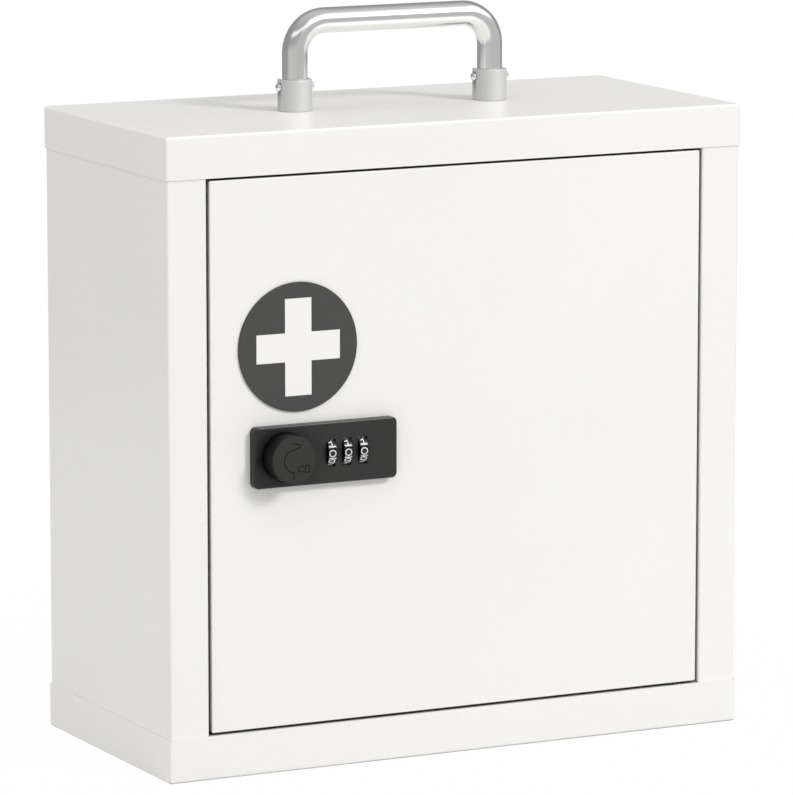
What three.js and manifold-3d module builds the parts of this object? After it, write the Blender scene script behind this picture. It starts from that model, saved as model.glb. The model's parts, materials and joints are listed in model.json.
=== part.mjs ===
// Medication lock box: a sheet-steel case with a flush hinged door, a three-dial cam lock
// and a carrying handle that folds back. Sizes are in millimetres.
// +X is right, +Y is back, +Z is up, and the origin is the centre of the base.
import * as THREE from 'three';
import { mergeVertices } from 'three/addons/utils/BufferGeometryUtils.js';
import { RoundedBoxGeometry } from 'three/addons/geometries/RoundedBoxGeometry.js';
import Module from 'manifold-3d';

const wasm = await Module();
wasm.setup();

// Case
const width = 300;
const height = 300;
const depth = 140;
const sheet = 0.6;
const bendRadius = 1.2;
const lapGap = 0.05; // between the wrap and the caps that lap over it
const topSkirt = 19.9;
const bottomSkirt = 20.7;
const stileWidth = 20.5; // from the side of the box to the door opening
const stopReach = 11.5; // of the left stile's stop lip into the opening
const capFlange = 15; // behind the front edge of each cap
const flangeEndGap = 0.4;
const keyholeSpacing = 200;
const keyholeDrop = 45; // from the top of the box to the keyholes
const keyholeHead = 9;
const keyholeSlot = 4.5;
const keyholeRise = 9;

// Door
const doorGap = 1.5; // beside the door
const doorEndGap = 1.2; // above and below the door
const doorSheet = 0.8;
const doorDepth = 14;
const doorLip = 8;
const doorBend = 0.6;
const hingeInset = 12; // from the door's right edge to the hinge axis
const hingeSetback = 4; // from the door's face to the hinge axis
const padRadius = 3.5;
const padThickness = 1.2;
const padGap = 0.3; // between the pads and the closed door
const padInset = 30; // from the ends of the door

// Hinge pins and bushes
const hingePinRadius = 2;
const hingePinReach = 9; // into the door, from its end
const hingeHeadRadius = 3.5;
const hingeHeadHeight = 1.4;
const hingeRunningGap = 0.2; // round the pin
const bushWall = 0.7;
const bushFit = 0.1;
const bushFlangeRadius = 3.7;
const bushReach = 3; // into the door, from its end
const bushRunningGap = 0.3; // between the bush flange and the cap

// Shelf
const shelfTop = 150;
const shelfSheet = 0.8;
const shelfFlange = 10;
const shelfBend = 1.6;
const shelfSetback = 26; // from the front of the box
const shelfSideGap = 0.8;
const supportLeg = 12;
const supportMargin = 14; // from each end of the shelf

// Handle
const handleSpan = 103.2; // between the legs
const handleRise = 42; // of the bar's centreline above the top
const handleRadius = 6;
const handleBend = 15; // of the centreline
const pivotRise = 11.3; // of the cross pins above the top
const ferruleRadius = 8.2;
const ferruleHeight = 15;
const ferruleGap = 0.4; // round the leg
const ferruleEdge = 0.4;
const pivotPinRadius = 1.5;
const pivotPinGap = 0.25;
const pivotHeadRadius = 2;
const pivotHeadHeight = 1.7;
const ferruleScrewRadius = 2.2;
const ferruleScrewHeadRadius = 4.4;
const ferruleScrewHeadHeight = 2.6;
const ferruleWasherRadius = 7;
const ferruleWasherThickness = 1;

// Emblem
const emblemRadius = 30.2;
const emblemThickness = 1;
const emblemOffset = 12.45; // from the middle of the lock plate, to the left
const emblemRise = 50.1; // above the middle of the lock plate
const crossWidth = 42.6;
const crossHeight = 45.4;
const crossArm = 13.5;
const crossSlip = 0.05; // between the white plus and the disc round it
const crossDepth = 0.05; // from the disc's face back to the plus
const glueFilm = 0.1;

// Lock housing
const plateWidth = 73.5;
const plateHeight = 28.6;
const plateThickness = 4.5;
const plateCorner = 2.6;
const plateBevel = 0.7;
const plateWeb = 1.2; // left over the pockets behind the plate
const lockInset = 56.45; // from the door's left edge to the middle of the plate
const lockDrop = 0.4; // from the middle of the box down to the middle of the plate
const barrelRadius = 8;
const barrelLength = 13; // behind the door's face
const lockSlip = 0.3; // between the spindle and the barrel

// Knob and cam
const knobOffset = 21.1; // from the middle of the plate, to the left
const knobRadius = 11;
const knobRise = 10; // above the plate
const knobEdge = 0.8;
const knobSeatDepth = 1;
const knobSeatGap = 0.8; // ring round the knob
const knobFloat = 0.5; // between the knob and the floor of its seat
const spindleRadius = 4.4;
const camLength = 40;
const camWidth = 14;
const camThickness = 2.5;
const camClearance = 0.4; // behind the stop lip
const camSquare = 6;
const camSquareGap = 0.15;
const camScrewRadius = 1.8;
const camScrewHeadRadius = 4;
const camScrewHeadHeight = 2.4;
const camScrewDepth = 8;
const camWasherRadius = 6;
const camWasherThickness = 1;

// Dials
const dialCount = 3;
const dialPitch = 8.15;
const dialOffset = 10.65; // from the middle of the plate to the middle dial
const dialRadius = 6.9;
const dialWidth = 4;
const dialRise = 2.5; // above the plate
const dialSideGap = 0.6;
const digitCount = 10;
const digitFaceShare = 0.42; // of a digit's step, from the middle of its face to each side
const dialGroove = 0.5;
const windowWidth = 4.6;
const windowHeight = 12.8;
const axleRadius = 1.5;
const axleGap = 0.25;
const axleSeat = 3; // into each end wall
const dialRoom = 0.8; // round the dials, inside their case
const dialCaseWall = 1.5;
const dialCaseEnd = 4.5;
const springThickness = 0.3;
const springFinger = 3;
const springEdge = 3;
const springBump = 0.7;
const springGap = 0.3; // between the bumps and the dials
const coverThickness = 1.2;
const coverScrewRadius = 0.9;
const coverScrewHeadRadius = 1.8;
const coverScrewHeadHeight = 1.2;
const coverScrewDepth = 3.5;
const resetHoleRadius = 1.1;

// Lock fixings
const nutFlats = 22;
const nutThickness = 4;
const nutWasherRadius = 11.5;
const nutWasherThickness = 0.8;
const threadGap = 0.25;
const lockScrewOffset = 31.5; // from the middle of the plate, to the right
const lockScrewRadius = 1.25;
const lockScrewHeadRadius = 2.8;
const lockScrewHeadHeight = 1.8;
const lockScrewWasherRadius = 4;
const lockScrewWasherThickness = 0.6;
const lockScrewDepth = 2.8;

// Shared
const overrun = 2; // of every cut past what it cuts
const seatGap = 0.05; // under a flat piece seated on sheet
const holeGap = 0.3; // round a screw in its hole
const roundSides = 32;
const smallSides = 20;
const archSteps = 48;
const bendSteps = 3;
const domeSteps = 5;

// Places worked out from the sizes
const wrapHalfWidth = width / 2 - sheet - lapGap;
const wrapHalfDepth = depth / 2 - sheet - lapGap;
const openingHalf = width / 2 - stileWidth;
const openingTop = height - topSkirt;
const openingBottom = bottomSkirt;
const doorHalf = openingHalf - doorGap;
const doorTop = openingTop - doorEndGap;
const doorBottom = openingBottom + doorEndGap;
const doorFront = -wrapHalfDepth;
const doorBack = doorFront + doorDepth;
const doorInner = doorFront + doorSheet;
const lipFront = doorBack + padThickness + padGap;
const lipBack = lipFront + sheet;
const hingeX = doorHalf - hingeInset;
const hingeY = doorFront + hingeSetback;
const pivotZ = height + pivotRise;
const plateBack = doorFront - seatGap;
const plateFront = plateBack - plateThickness;
const lockX = -doorHalf + lockInset;
const lockZ = height / 2 - lockDrop;
const emblemX = lockX - emblemOffset;
const emblemZ = lockZ + emblemRise;
const knobX = lockX - knobOffset;
const barrelBack = doorFront + barrelLength;
const knobFront = plateFront - knobRise;
const knobBack = plateFront + knobSeatDepth - knobFloat;
const camFront = lipBack + camClearance;
const camBack = camFront + camThickness;
const dialMiddleX = lockX + dialOffset;
const dialY = plateFront - dialRise + dialRadius;
const dialHalfSpan = (dialPitch * (dialCount - 1)) / 2 + dialWidth / 2 + dialSideGap;
const dialCaseHalf = dialHalfSpan + dialCaseEnd;
const dialCaseBack = dialY + dialRadius + springGap + springBump + springThickness;
const dialRoomHalf = dialRadius + dialRoom;
const dialCaseRise = dialRoomHalf + dialCaseWall;
const coverScrewSpread = dialHalfSpan + dialCaseEnd / 2;
const bushRadius = hingePinRadius + hingeRunningGap + bushWall;

const materials = {
  whitePaint: { color: 0xf6f5f3, roughness: 0.45, metalness: 0 },
  chrome: { color: 0xc9cacb, roughness: 0.16, metalness: 1 },
  zinc: { color: 0xb4b6b8, roughness: 0.4, metalness: 1 },
  darkDisc: { color: 0x4e4e4d, roughness: 0.55, metalness: 0 },
  lockBlack: { color: 0x3d3d3d, roughness: 0.5, metalness: 0.2 },
  dialBlack: { color: 0x101010, roughness: 0.5, metalness: 0 },
  rubber: { color: 0x2a2a2a, roughness: 0.9, metalness: 0 },
  nylon: { color: 0x323232, roughness: 0.6, metalness: 0 },
};

// Booleans

function toSolid(geometry) {
  const bare = geometry.clone();
  bare.deleteAttribute('normal');
  bare.deleteAttribute('uv');
  const merged = mergeVertices(bare);
  const indices = merged.index.array;
  const kept = [];
  for (let i = 0; i < indices.length; i += 3) {
    const [a, b, c] = indices.slice(i, i + 3);
    if (a !== b && b !== c && c !== a) {
      kept.push(a, b, c);
    }
  }
  return new wasm.Manifold(
    new wasm.Mesh({
      numProp: 3,
      vertProperties: new Float32Array(merged.attributes.position.array),
      triVerts: new Uint32Array(kept),
    }),
  );
}

function toGeometry(solid) {
  const mesh = solid.getMesh();
  const geometry = new THREE.BufferGeometry();
  geometry.setAttribute('position', new THREE.BufferAttribute(mesh.vertProperties, 3));
  geometry.setIndex(new THREE.BufferAttribute(mesh.triVerts, 1));
  return geometry;
}

function shape(base, { joined = [], cut = [] } = {}) {
  let solid = toSolid(base);
  for (const piece of joined) {
    solid = solid.add(toSolid(piece));
  }
  for (const piece of cut) {
    solid = solid.subtract(toSolid(piece));
  }
  return toGeometry(solid);
}

// Basic forms. Turning by whole right angles swaps coordinates, so that faces stay exact.

const zToX = new THREE.Matrix4().set(0, 0, 1, 0, 1, 0, 0, 0, 0, 1, 0, 0, 0, 0, 0, 1);
const zToY = new THREE.Matrix4().set(0, 1, 0, 0, 0, 0, 1, 0, 1, 0, 0, 0, 0, 0, 0, 1);
const yToZ = zToX;

function block(x0, x1, y0, y1, z0, z1) {
  const geometry = new THREE.BoxGeometry(x1 - x0, y1 - y0, z1 - z0);
  return geometry.translate((x0 + x1) / 2, (y0 + y1) / 2, (z0 + z1) / 2);
}

function roundedBlock(x0, x1, y0, y1, z0, z1, radius) {
  const geometry = new RoundedBoxGeometry(x1 - x0, y1 - y0, z1 - z0, 2, radius);
  return geometry.translate((x0 + x1) / 2, (y0 + y1) / 2, (z0 + z1) / 2);
}

// A turned solid about +Z from a profile of [radius, z] points that starts and ends on the axis
function turned(profile, sides) {
  const points = profile.map(([radius, z]) => new THREE.Vector2(radius, z));
  const lathe = new THREE.LatheGeometry(points, sides);
  return lathe.applyMatrix4(yToZ);
}

function rod(radius, z0, z1, sides) {
  return turned([[0, z0], [radius, z0], [radius, z1], [0, z1]], sides);
}

function rodX(radius, x0, x1, y, z, sides) {
  return rod(radius, x0, x1, sides).applyMatrix4(zToX).translate(0, y, z);
}

function rodY(radius, y0, y1, x, z, sides) {
  return rod(radius, y0, y1, sides).applyMatrix4(zToY).translate(x, 0, z);
}

function rodZ(radius, z0, z1, x, y, sides) {
  return rod(radius, z0, z1, sides).translate(x, y, 0);
}

// A washer or bush: a turned ring from z0 to z1
function ring(inner, outer, z0, z1, sides) {
  const profile = [[inner, z0], [outer, z0], [outer, z1], [inner, z1], [inner, z0]];
  return turned(profile, sides);
}

// A screw with a low domed head: the head stands below z = 0 and the shank above it
function screw(shankRadius, shankLength, headRadius, headHeight, sides) {
  const domeStart = headHeight / 2;
  const dome = new THREE.EllipseCurve(0, -domeStart, headRadius, domeStart, -Math.PI / 2, 0);
  const profile = dome.getPoints(domeSteps).map((point) => [Math.max(point.x, 0), point.y]);
  profile[0] = [0, -headHeight];
  profile.push([headRadius, 0], [shankRadius, 0], [shankRadius, shankLength], [0, shankLength]);
  return turned(profile, sides);
}

// The outline of a bent strip of sheet that follows a middle line of [u, v] points
function stripOutline(points, thickness, radius) {
  const half = thickness / 2;
  const path = points.map(([u, v]) => new THREE.Vector2(u, v));
  const near = [];
  const far = [];
  const addEnd = (point, along) => {
    const side = new THREE.Vector2(-along.y, along.x).multiplyScalar(half);
    near.push(point.clone().add(side));
    far.push(point.clone().sub(side));
  };
  const last = path.length - 1;
  addEnd(path[0], path[1].clone().sub(path[0]).normalize());
  for (let i = 1; i < last; i++) {
    const before = path[i].clone().sub(path[i - 1]).normalize();
    const after = path[i + 1].clone().sub(path[i]).normalize();
    const turn = Math.sign(before.cross(after));
    const middle = radius - half;
    const toCentre = new THREE.Vector2(-before.y, before.x).multiplyScalar(turn * middle);
    const centre = path[i].clone().addScaledVector(before, -middle).add(toCentre);
    const start = Math.atan2(-toCentre.y, -toCentre.x);
    for (let k = 0; k <= bendSteps; k++) {
      const angle = start + (turn * Math.PI * k) / (2 * bendSteps);
      const ray = new THREE.Vector2(Math.cos(angle), Math.sin(angle));
      near.push(centre.clone().addScaledVector(ray, middle - turn * half));
      far.push(centre.clone().addScaledVector(ray, middle + turn * half));
    }
  }
  addEnd(path[last], path[last].clone().sub(path[last - 1]).normalize());
  return new THREE.Shape([...near, ...far.reverse()]);
}

function extruded(outline, length, curveSegments = 6) {
  return new THREE.ExtrudeGeometry(outline, { depth: length, bevelEnabled: false, curveSegments });
}

// Stands an outline drawn in X and Z upright and gives it thickness from y0 to y1
function upright(outline, y0, y1, curveSegments) {
  const geometry = extruded(outline, y1 - y0, curveSegments);
  const stand = new THREE.Matrix4().set(1, 0, 0, 0, 0, 0, -1, y1, 0, 1, 0, 0, 0, 0, 0, 1);
  return geometry.applyMatrix4(stand);
}

function roundedRectangle(halfWidth, halfHeight, radius) {
  const outline = new THREE.Shape();
  const corner = [[1, 1, 0], [-1, 1, 1], [-1, -1, 2], [1, -1, 3]];
  for (const [signX, signY, quarter] of corner) {
    const x = signX * (halfWidth - radius);
    const y = signY * (halfHeight - radius);
    outline.absarc(x, y, radius, (quarter * Math.PI) / 2, ((quarter + 1) * Math.PI) / 2, false);
  }
  return outline;
}

// Parts and bodies

const box = new THREE.Group();
const door = new THREE.Group();
const handle = new THREE.Group();
box.add(door, handle);

function place(parent, name, geometry, material) {
  const mesh = new THREE.Mesh(shape(geometry), new THREE.MeshStandardMaterial(materials[material]));
  mesh.name = name;
  parent.add(mesh);
}

// Case

function keyhole(x) {
  const z = height - keyholeDrop;
  const y0 = wrapHalfDepth - sheet - overrun;
  const y1 = wrapHalfDepth + overrun;
  return [
    rodY(keyholeHead / 2, y0, y1, x, z, smallSides),
    block(x - keyholeSlot / 2, x + keyholeSlot / 2, y0, y1, z, z + keyholeRise),
    rodY(keyholeSlot / 2, y0, y1, x, z + keyholeRise, smallSides),
  ];
}

function caseWrap() {
  const half = sheet / 2;
  const sideX = wrapHalfWidth - half;
  const backY = wrapHalfDepth - half;
  const returnX = openingHalf + half;
  const lipY = lipFront + half;
  const path = [
    [-openingHalf + stopReach, lipY],
    [-returnX, lipY],
    [-returnX, -backY],
    [-sideX, -backY],
    [-sideX, backY],
    [sideX, backY],
    [sideX, -backY],
    [returnX, -backY],
    [returnX, lipY],
  ];
  const wallBottom = bendRadius;
  const wallTop = height - bendRadius;
  const wall = extruded(stripOutline(path, sheet, bendRadius), wallTop - wallBottom);
  wall.translate(0, 0, wallBottom);
  const holes = [...keyhole(-keyholeSpacing / 2), ...keyhole(keyholeSpacing / 2)];
  return shape(wall, { cut: holes });
}

// A cap standing on its panel at z = 0, with its skirt upwards
function capTray(skirt) {
  const halfWidth = width / 2;
  const halfDepth = depth / 2;
  const full = roundedBlock(-halfWidth, halfWidth, -halfDepth, halfDepth, 0, 2 * skirt, bendRadius);
  const room = roundedBlock(
    -halfWidth + sheet,
    halfWidth - sheet,
    -halfDepth + sheet,
    halfDepth - sheet,
    sheet,
    3 * skirt,
    bendRadius - sheet,
  );
  const above = block(
    -halfWidth - overrun,
    halfWidth + overrun,
    -halfDepth - overrun,
    halfDepth + overrun,
    skirt,
    2 * skirt + overrun,
  );
  const flangeHalf = openingHalf - flangeEndGap;
  const flangeBack = -halfDepth + capFlange;
  const flange = block(-flangeHalf, flangeHalf, -halfDepth + sheet / 2, flangeBack, skirt - sheet, skirt);
  const hollow = toGeometry(toSolid(full).subtract(toSolid(room)).subtract(toSolid(above)));
  const holeRadius = hingePinRadius + holeGap;
  const pinHole = rodZ(holeRadius, skirt - sheet - overrun, skirt + overrun, hingeX, hingeY, smallSides);
  return shape(hollow, { joined: [flange], cut: [pinHole] });
}

function bottomCap() {
  return capTray(bottomSkirt);
}

function topCap() {
  const flipped = capTray(topSkirt);
  const overAndUp = new THREE.Matrix4().set(1, 0, 0, 0, 0, 1, 0, 0, 0, 0, -1, height, 0, 0, 0, 1);
  const mirrored = flipped.applyMatrix4(overAndUp);
  const indices = mirrored.index.array;
  for (let i = 0; i < indices.length; i += 3) {
    [indices[i], indices[i + 1]] = [indices[i + 1], indices[i]];
  }
  const radius = ferruleScrewRadius + holeGap;
  const z0 = height - sheet - overrun;
  const z1 = height + overrun;
  const holes = [-1, 1].map((side) => rodZ(radius, z0, z1, (side * handleSpan) / 2, 0, smallSides));
  return shape(mirrored, { cut: holes });
}

function shelf() {
  const half = shelfSheet / 2;
  const front = -depth / 2 + shelfSetback + half;
  const back = wrapHalfDepth - sheet - shelfSideGap - half;
  const top = shelfTop - half;
  const bottom = shelfTop - shelfFlange;
  const path = [[front, bottom], [front, top], [back, top], [back, bottom]];
  const halfLength = wrapHalfWidth - sheet - shelfSideGap;
  const strip = extruded(stripOutline(path, shelfSheet, shelfBend), 2 * halfLength);
  return strip.applyMatrix4(zToX).translate(-halfLength, 0, 0);
}

function shelfSupport(side) {
  const half = shelfSheet / 2;
  const wallX = wrapHalfWidth - sheet - seatGap - half;
  const top = shelfTop - shelfSheet - seatGap - half;
  const path = [[side * wallX, top - supportLeg], [side * wallX, top], [side * (wallX - supportLeg), top]];
  const front = -depth / 2 + shelfSetback + supportMargin;
  const back = wrapHalfDepth - sheet - supportMargin;
  return upright(stripOutline(path, shelfSheet, shelfBend), front, back);
}

// A hinge pin along +Z through a cap's flange into the door, with its head at z = 0 and below
function hingePin() {
  const length = sheet + doorEndGap + hingePinReach;
  return screw(hingePinRadius, length, hingeHeadRadius, hingeHeadHeight, smallSides);
}

function turnedOver(geometry) {
  const over = new THREE.Matrix4().set(1, 0, 0, 0, 0, -1, 0, 0, 0, 0, -1, 0, 0, 0, 0, 1);
  return geometry.applyMatrix4(over);
}

function bumperPad(z) {
  return rodY(padRadius, lipFront - padThickness, lipFront, -doorHalf + doorLip / 2, z, smallSides);
}

place(box, 'case_wrap', caseWrap(), 'whitePaint');
place(box, 'top_cap', topCap(), 'whitePaint');
place(box, 'bottom_cap', bottomCap(), 'whitePaint');
place(box, 'shelf', shelf(), 'whitePaint');
place(box, 'shelf_support_left', shelfSupport(-1), 'whitePaint');
place(box, 'shelf_support_right', shelfSupport(1), 'whitePaint');
const topPin = turnedOver(hingePin()).translate(hingeX, hingeY, openingTop + sheet);
const bottomPin = hingePin().translate(hingeX, hingeY, openingBottom - sheet);
place(box, 'hinge_pin_top', topPin, 'zinc');
place(box, 'hinge_pin_bottom', bottomPin, 'zinc');
place(box, 'bumper_pad_top', bumperPad(doorTop - padInset), 'rubber');
place(box, 'bumper_pad_bottom', bumperPad(doorBottom + padInset), 'rubber');

// Handle sleeves and their fixings

function ferrule(x) {
  const bore = handleRadius + ferruleGap;
  const floor = pivotZ - bore;
  const top = height + ferruleHeight;
  const profile = [
    [0, height],
    [ferruleRadius, height],
    [ferruleRadius, top - ferruleEdge],
    [ferruleRadius - ferruleEdge, top],
    [0, top],
  ];
  const body = turned(profile, roundSides).translate(x, 0, 0);
  const legRoom = rodZ(bore, floor, top + overrun, x, 0, roundSides);
  const backSlot = block(x - bore, x + bore, 0, ferruleRadius + overrun, floor, top + overrun);
  const reach = ferruleRadius + overrun;
  const pinHole = rodX(pivotPinRadius + pivotPinGap, x - reach, x + reach, 0, pivotZ, smallSides);
  const screwHole = rodZ(ferruleScrewRadius + holeGap, height - overrun, floor + overrun, x, 0, smallSides);
  return shape(body, { cut: [legRoom, backSlot, pinHole, screwHole] });
}

function pivotPin(x) {
  const seat = ferruleRadius + seatGap;
  const dome = new THREE.EllipseCurve(0, seat, pivotHeadRadius, pivotHeadHeight, 0, Math.PI / 2);
  const upper = dome.getPoints(domeSteps).map((point) => [Math.max(point.x, 0), point.y]);
  upper[upper.length - 1] = [0, seat + pivotHeadHeight];
  const lower = upper.map(([radius, z]) => [radius, -z]).reverse();
  const profile = [...lower, [pivotPinRadius, -seat], [pivotPinRadius, seat], ...upper];
  return turned(profile, smallSides).applyMatrix4(zToX).translate(x, 0, pivotZ);
}

function ferruleScrew(x) {
  const underWasher = height - sheet - ferruleWasherThickness;
  const length = pivotZ - handleRadius - ferruleGap - holeGap - underWasher;
  const body = screw(ferruleScrewRadius, length, ferruleScrewHeadRadius, ferruleScrewHeadHeight, smallSides);
  return body.translate(x, 0, underWasher);
}

function ferruleWasher(x) {
  const top = height - sheet;
  const inner = ferruleScrewRadius + holeGap;
  const flat = ring(inner, ferruleWasherRadius, top - ferruleWasherThickness, top, smallSides);
  return flat.translate(x, 0, 0);
}

for (const [name, side] of [['left', -1], ['right', 1]]) {
  const x = (side * handleSpan) / 2;
  place(box, `ferrule_${name}`, ferrule(x), 'chrome');
  place(box, `pivot_pin_${name}`, pivotPin(x), 'chrome');
  place(box, `ferrule_screw_${name}`, ferruleScrew(x), 'zinc');
  place(box, `ferrule_washer_${name}`, ferruleWasher(x), 'zinc');
}

// Handle bar: a bent rod whose legs end in half balls round the cross pins

class Arch extends THREE.Curve {
  constructor(halfSpan, footZ, bendZ, bend) {
    super();
    Object.assign(this, { halfSpan, footZ, bendZ, bend });
    this.leg = bendZ - footZ;
    this.corner = (bend * Math.PI) / 2;
    this.bar = 2 * (halfSpan - bend);
    this.total = 2 * this.leg + 2 * this.corner + this.bar;
  }

  // The place on the left half of the arch, at a distance from its foot
  leftHalf(distance) {
    if (distance <= this.leg) {
      return [-this.halfSpan, this.footZ + distance];
    }
    const turned = Math.min((distance - this.leg) / this.bend, Math.PI / 2);
    const past = Math.max(distance - this.leg - this.corner, 0);
    const x = -this.halfSpan + this.bend * (1 - Math.cos(turned)) + past;
    return [x, this.bendZ + this.bend * Math.sin(turned)];
  }

  getPoint(share, target = new THREE.Vector3()) {
    const distance = share * this.total;
    const onRight = distance > this.total / 2;
    const [x, z] = this.leftHalf(onRight ? this.total - distance : distance);
    return target.set(onRight ? -x : x, 0, z);
  }
}

function handleBar() {
  const half = handleSpan / 2;
  const bendZ = height + handleRise - handleBend;
  const arch = new Arch(half, pivotZ, bendZ, handleBend);
  const section = new THREE.Shape();
  section.absarc(0, 0, handleRadius, 0, 2 * Math.PI, false);
  const along = { steps: archSteps, extrudePath: arch, curveSegments: smallSides / 2 };
  const tube = new THREE.ExtrudeGeometry(section, along);
  const ends = [-half, half].map((x) => {
    return new THREE.SphereGeometry(handleRadius, smallSides, smallSides / 2).translate(x, 0, pivotZ);
  });
  const reach = handleRadius + overrun;
  const holes = [-half, half].map((x) => {
    return rodX(pivotPinRadius + pivotPinGap, x - reach, x + reach, 0, pivotZ, smallSides);
  });
  return shape(tube, { joined: ends, cut: holes });
}

place(handle, 'handle_bar', handleBar(), 'chrome');

// Door

function doorPanel() {
  const rear = doorBack;
  const full = roundedBlock(-doorHalf, doorHalf, doorFront, rear + doorDepth, doorBottom, doorTop, doorBend);
  const behind = block(
    -doorHalf - overrun,
    doorHalf + overrun,
    rear,
    rear + doorDepth + overrun,
    doorBottom - overrun,
    doorTop + overrun,
  );
  const room = block(
    -doorHalf + doorSheet,
    doorHalf - doorSheet,
    doorInner,
    rear - doorSheet,
    doorBottom + doorSheet,
    doorTop - doorSheet,
  );
  const mouth = block(
    -doorHalf + doorLip,
    doorHalf - doorLip,
    doorInner,
    rear + overrun,
    doorBottom + doorLip,
    doorTop - doorLip,
  );
  const bushHole = bushRadius + bushFit;
  const reach = doorSheet + overrun;
  const holes = [
    rodZ(bushHole, doorBottom - overrun, doorBottom + reach, hingeX, hingeY, smallSides),
    rodZ(bushHole, doorTop - reach, doorTop + overrun, hingeX, hingeY, smallSides),
    rodY(barrelRadius + holeGap, doorFront - overrun, doorInner + overrun, knobX, lockZ, roundSides),
    rodY(
      lockScrewRadius + holeGap,
      doorFront - overrun,
      doorInner + overrun,
      lockX + lockScrewOffset,
      lockZ,
      smallSides,
    ),
    block(
      dialMiddleX - dialCaseHalf - holeGap,
      dialMiddleX + dialCaseHalf + holeGap,
      doorFront - overrun,
      doorInner + overrun,
      lockZ - dialCaseRise - holeGap,
      lockZ + dialCaseRise + holeGap,
    ),
  ];
  return shape(full, { cut: [behind, room, mouth, ...holes] });
}

// A bush round a hinge pin, with its flange standing on z = 0 and its tube below
function hingeBush() {
  const inner = hingePinRadius + hingeRunningGap;
  const flangeTop = doorEndGap - bushRunningGap;
  const profile = [
    [inner, -bushReach],
    [bushRadius, -bushReach],
    [bushRadius, 0],
    [bushFlangeRadius, 0],
    [bushFlangeRadius, flangeTop],
    [inner, flangeTop],
    [inner, -bushReach],
  ];
  return turned(profile, smallSides);
}

// The corners of the plus, drawn in by a slip all round
function plusCorners(slip) {
  const wide = crossWidth / 2 - slip;
  const tall = crossHeight / 2 - slip;
  const short = crossArm / 2 - slip;
  const right = [[wide, -short], [wide, short]];
  const top = [[short, short], [short, tall], [-short, tall]];
  const left = [[-short, short], [-wide, short], [-wide, -short]];
  const bottom = [[-short, -short], [-short, -tall], [short, -tall], [short, -short]];
  const corners = [...right, ...top, ...left, ...bottom];
  return corners.map(([x, z]) => new THREE.Vector2(x, z));
}

const emblemBack = doorFront - glueFilm;
const emblemFront = emblemBack - emblemThickness;

function crossEmblem() {
  const disc = new THREE.Shape();
  disc.absarc(0, 0, emblemRadius, 0, 2 * Math.PI, false);
  disc.holes.push(new THREE.Path(plusCorners(0)));
  return upright(disc, emblemFront, emblemBack, roundSides).translate(emblemX, 0, emblemZ);
}

// The white plus that fills the opening of the disc
function crossInlay() {
  const plus = new THREE.Shape(plusCorners(crossSlip));
  return upright(plus, emblemFront + crossDepth, emblemBack, roundSides).translate(emblemX, 0, emblemZ);
}

place(door, 'door_panel', doorPanel(), 'whitePaint');
place(door, 'hinge_bush_top', hingeBush().translate(hingeX, hingeY, doorTop), 'nylon');
place(door, 'hinge_bush_bottom', turnedOver(hingeBush()).translate(hingeX, hingeY, doorBottom), 'nylon');
place(door, 'cross_emblem', crossEmblem(), 'darkDisc');
place(door, 'cross_inlay', crossInlay(), 'whitePaint');

// Lock housing: the plate, the threaded barrel behind the knob and the case round the dials

const dialPlaces = [];
for (let i = 0; i < dialCount; i++) {
  dialPlaces.push(dialMiddleX + (i - (dialCount - 1) / 2) * dialPitch);
}

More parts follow.
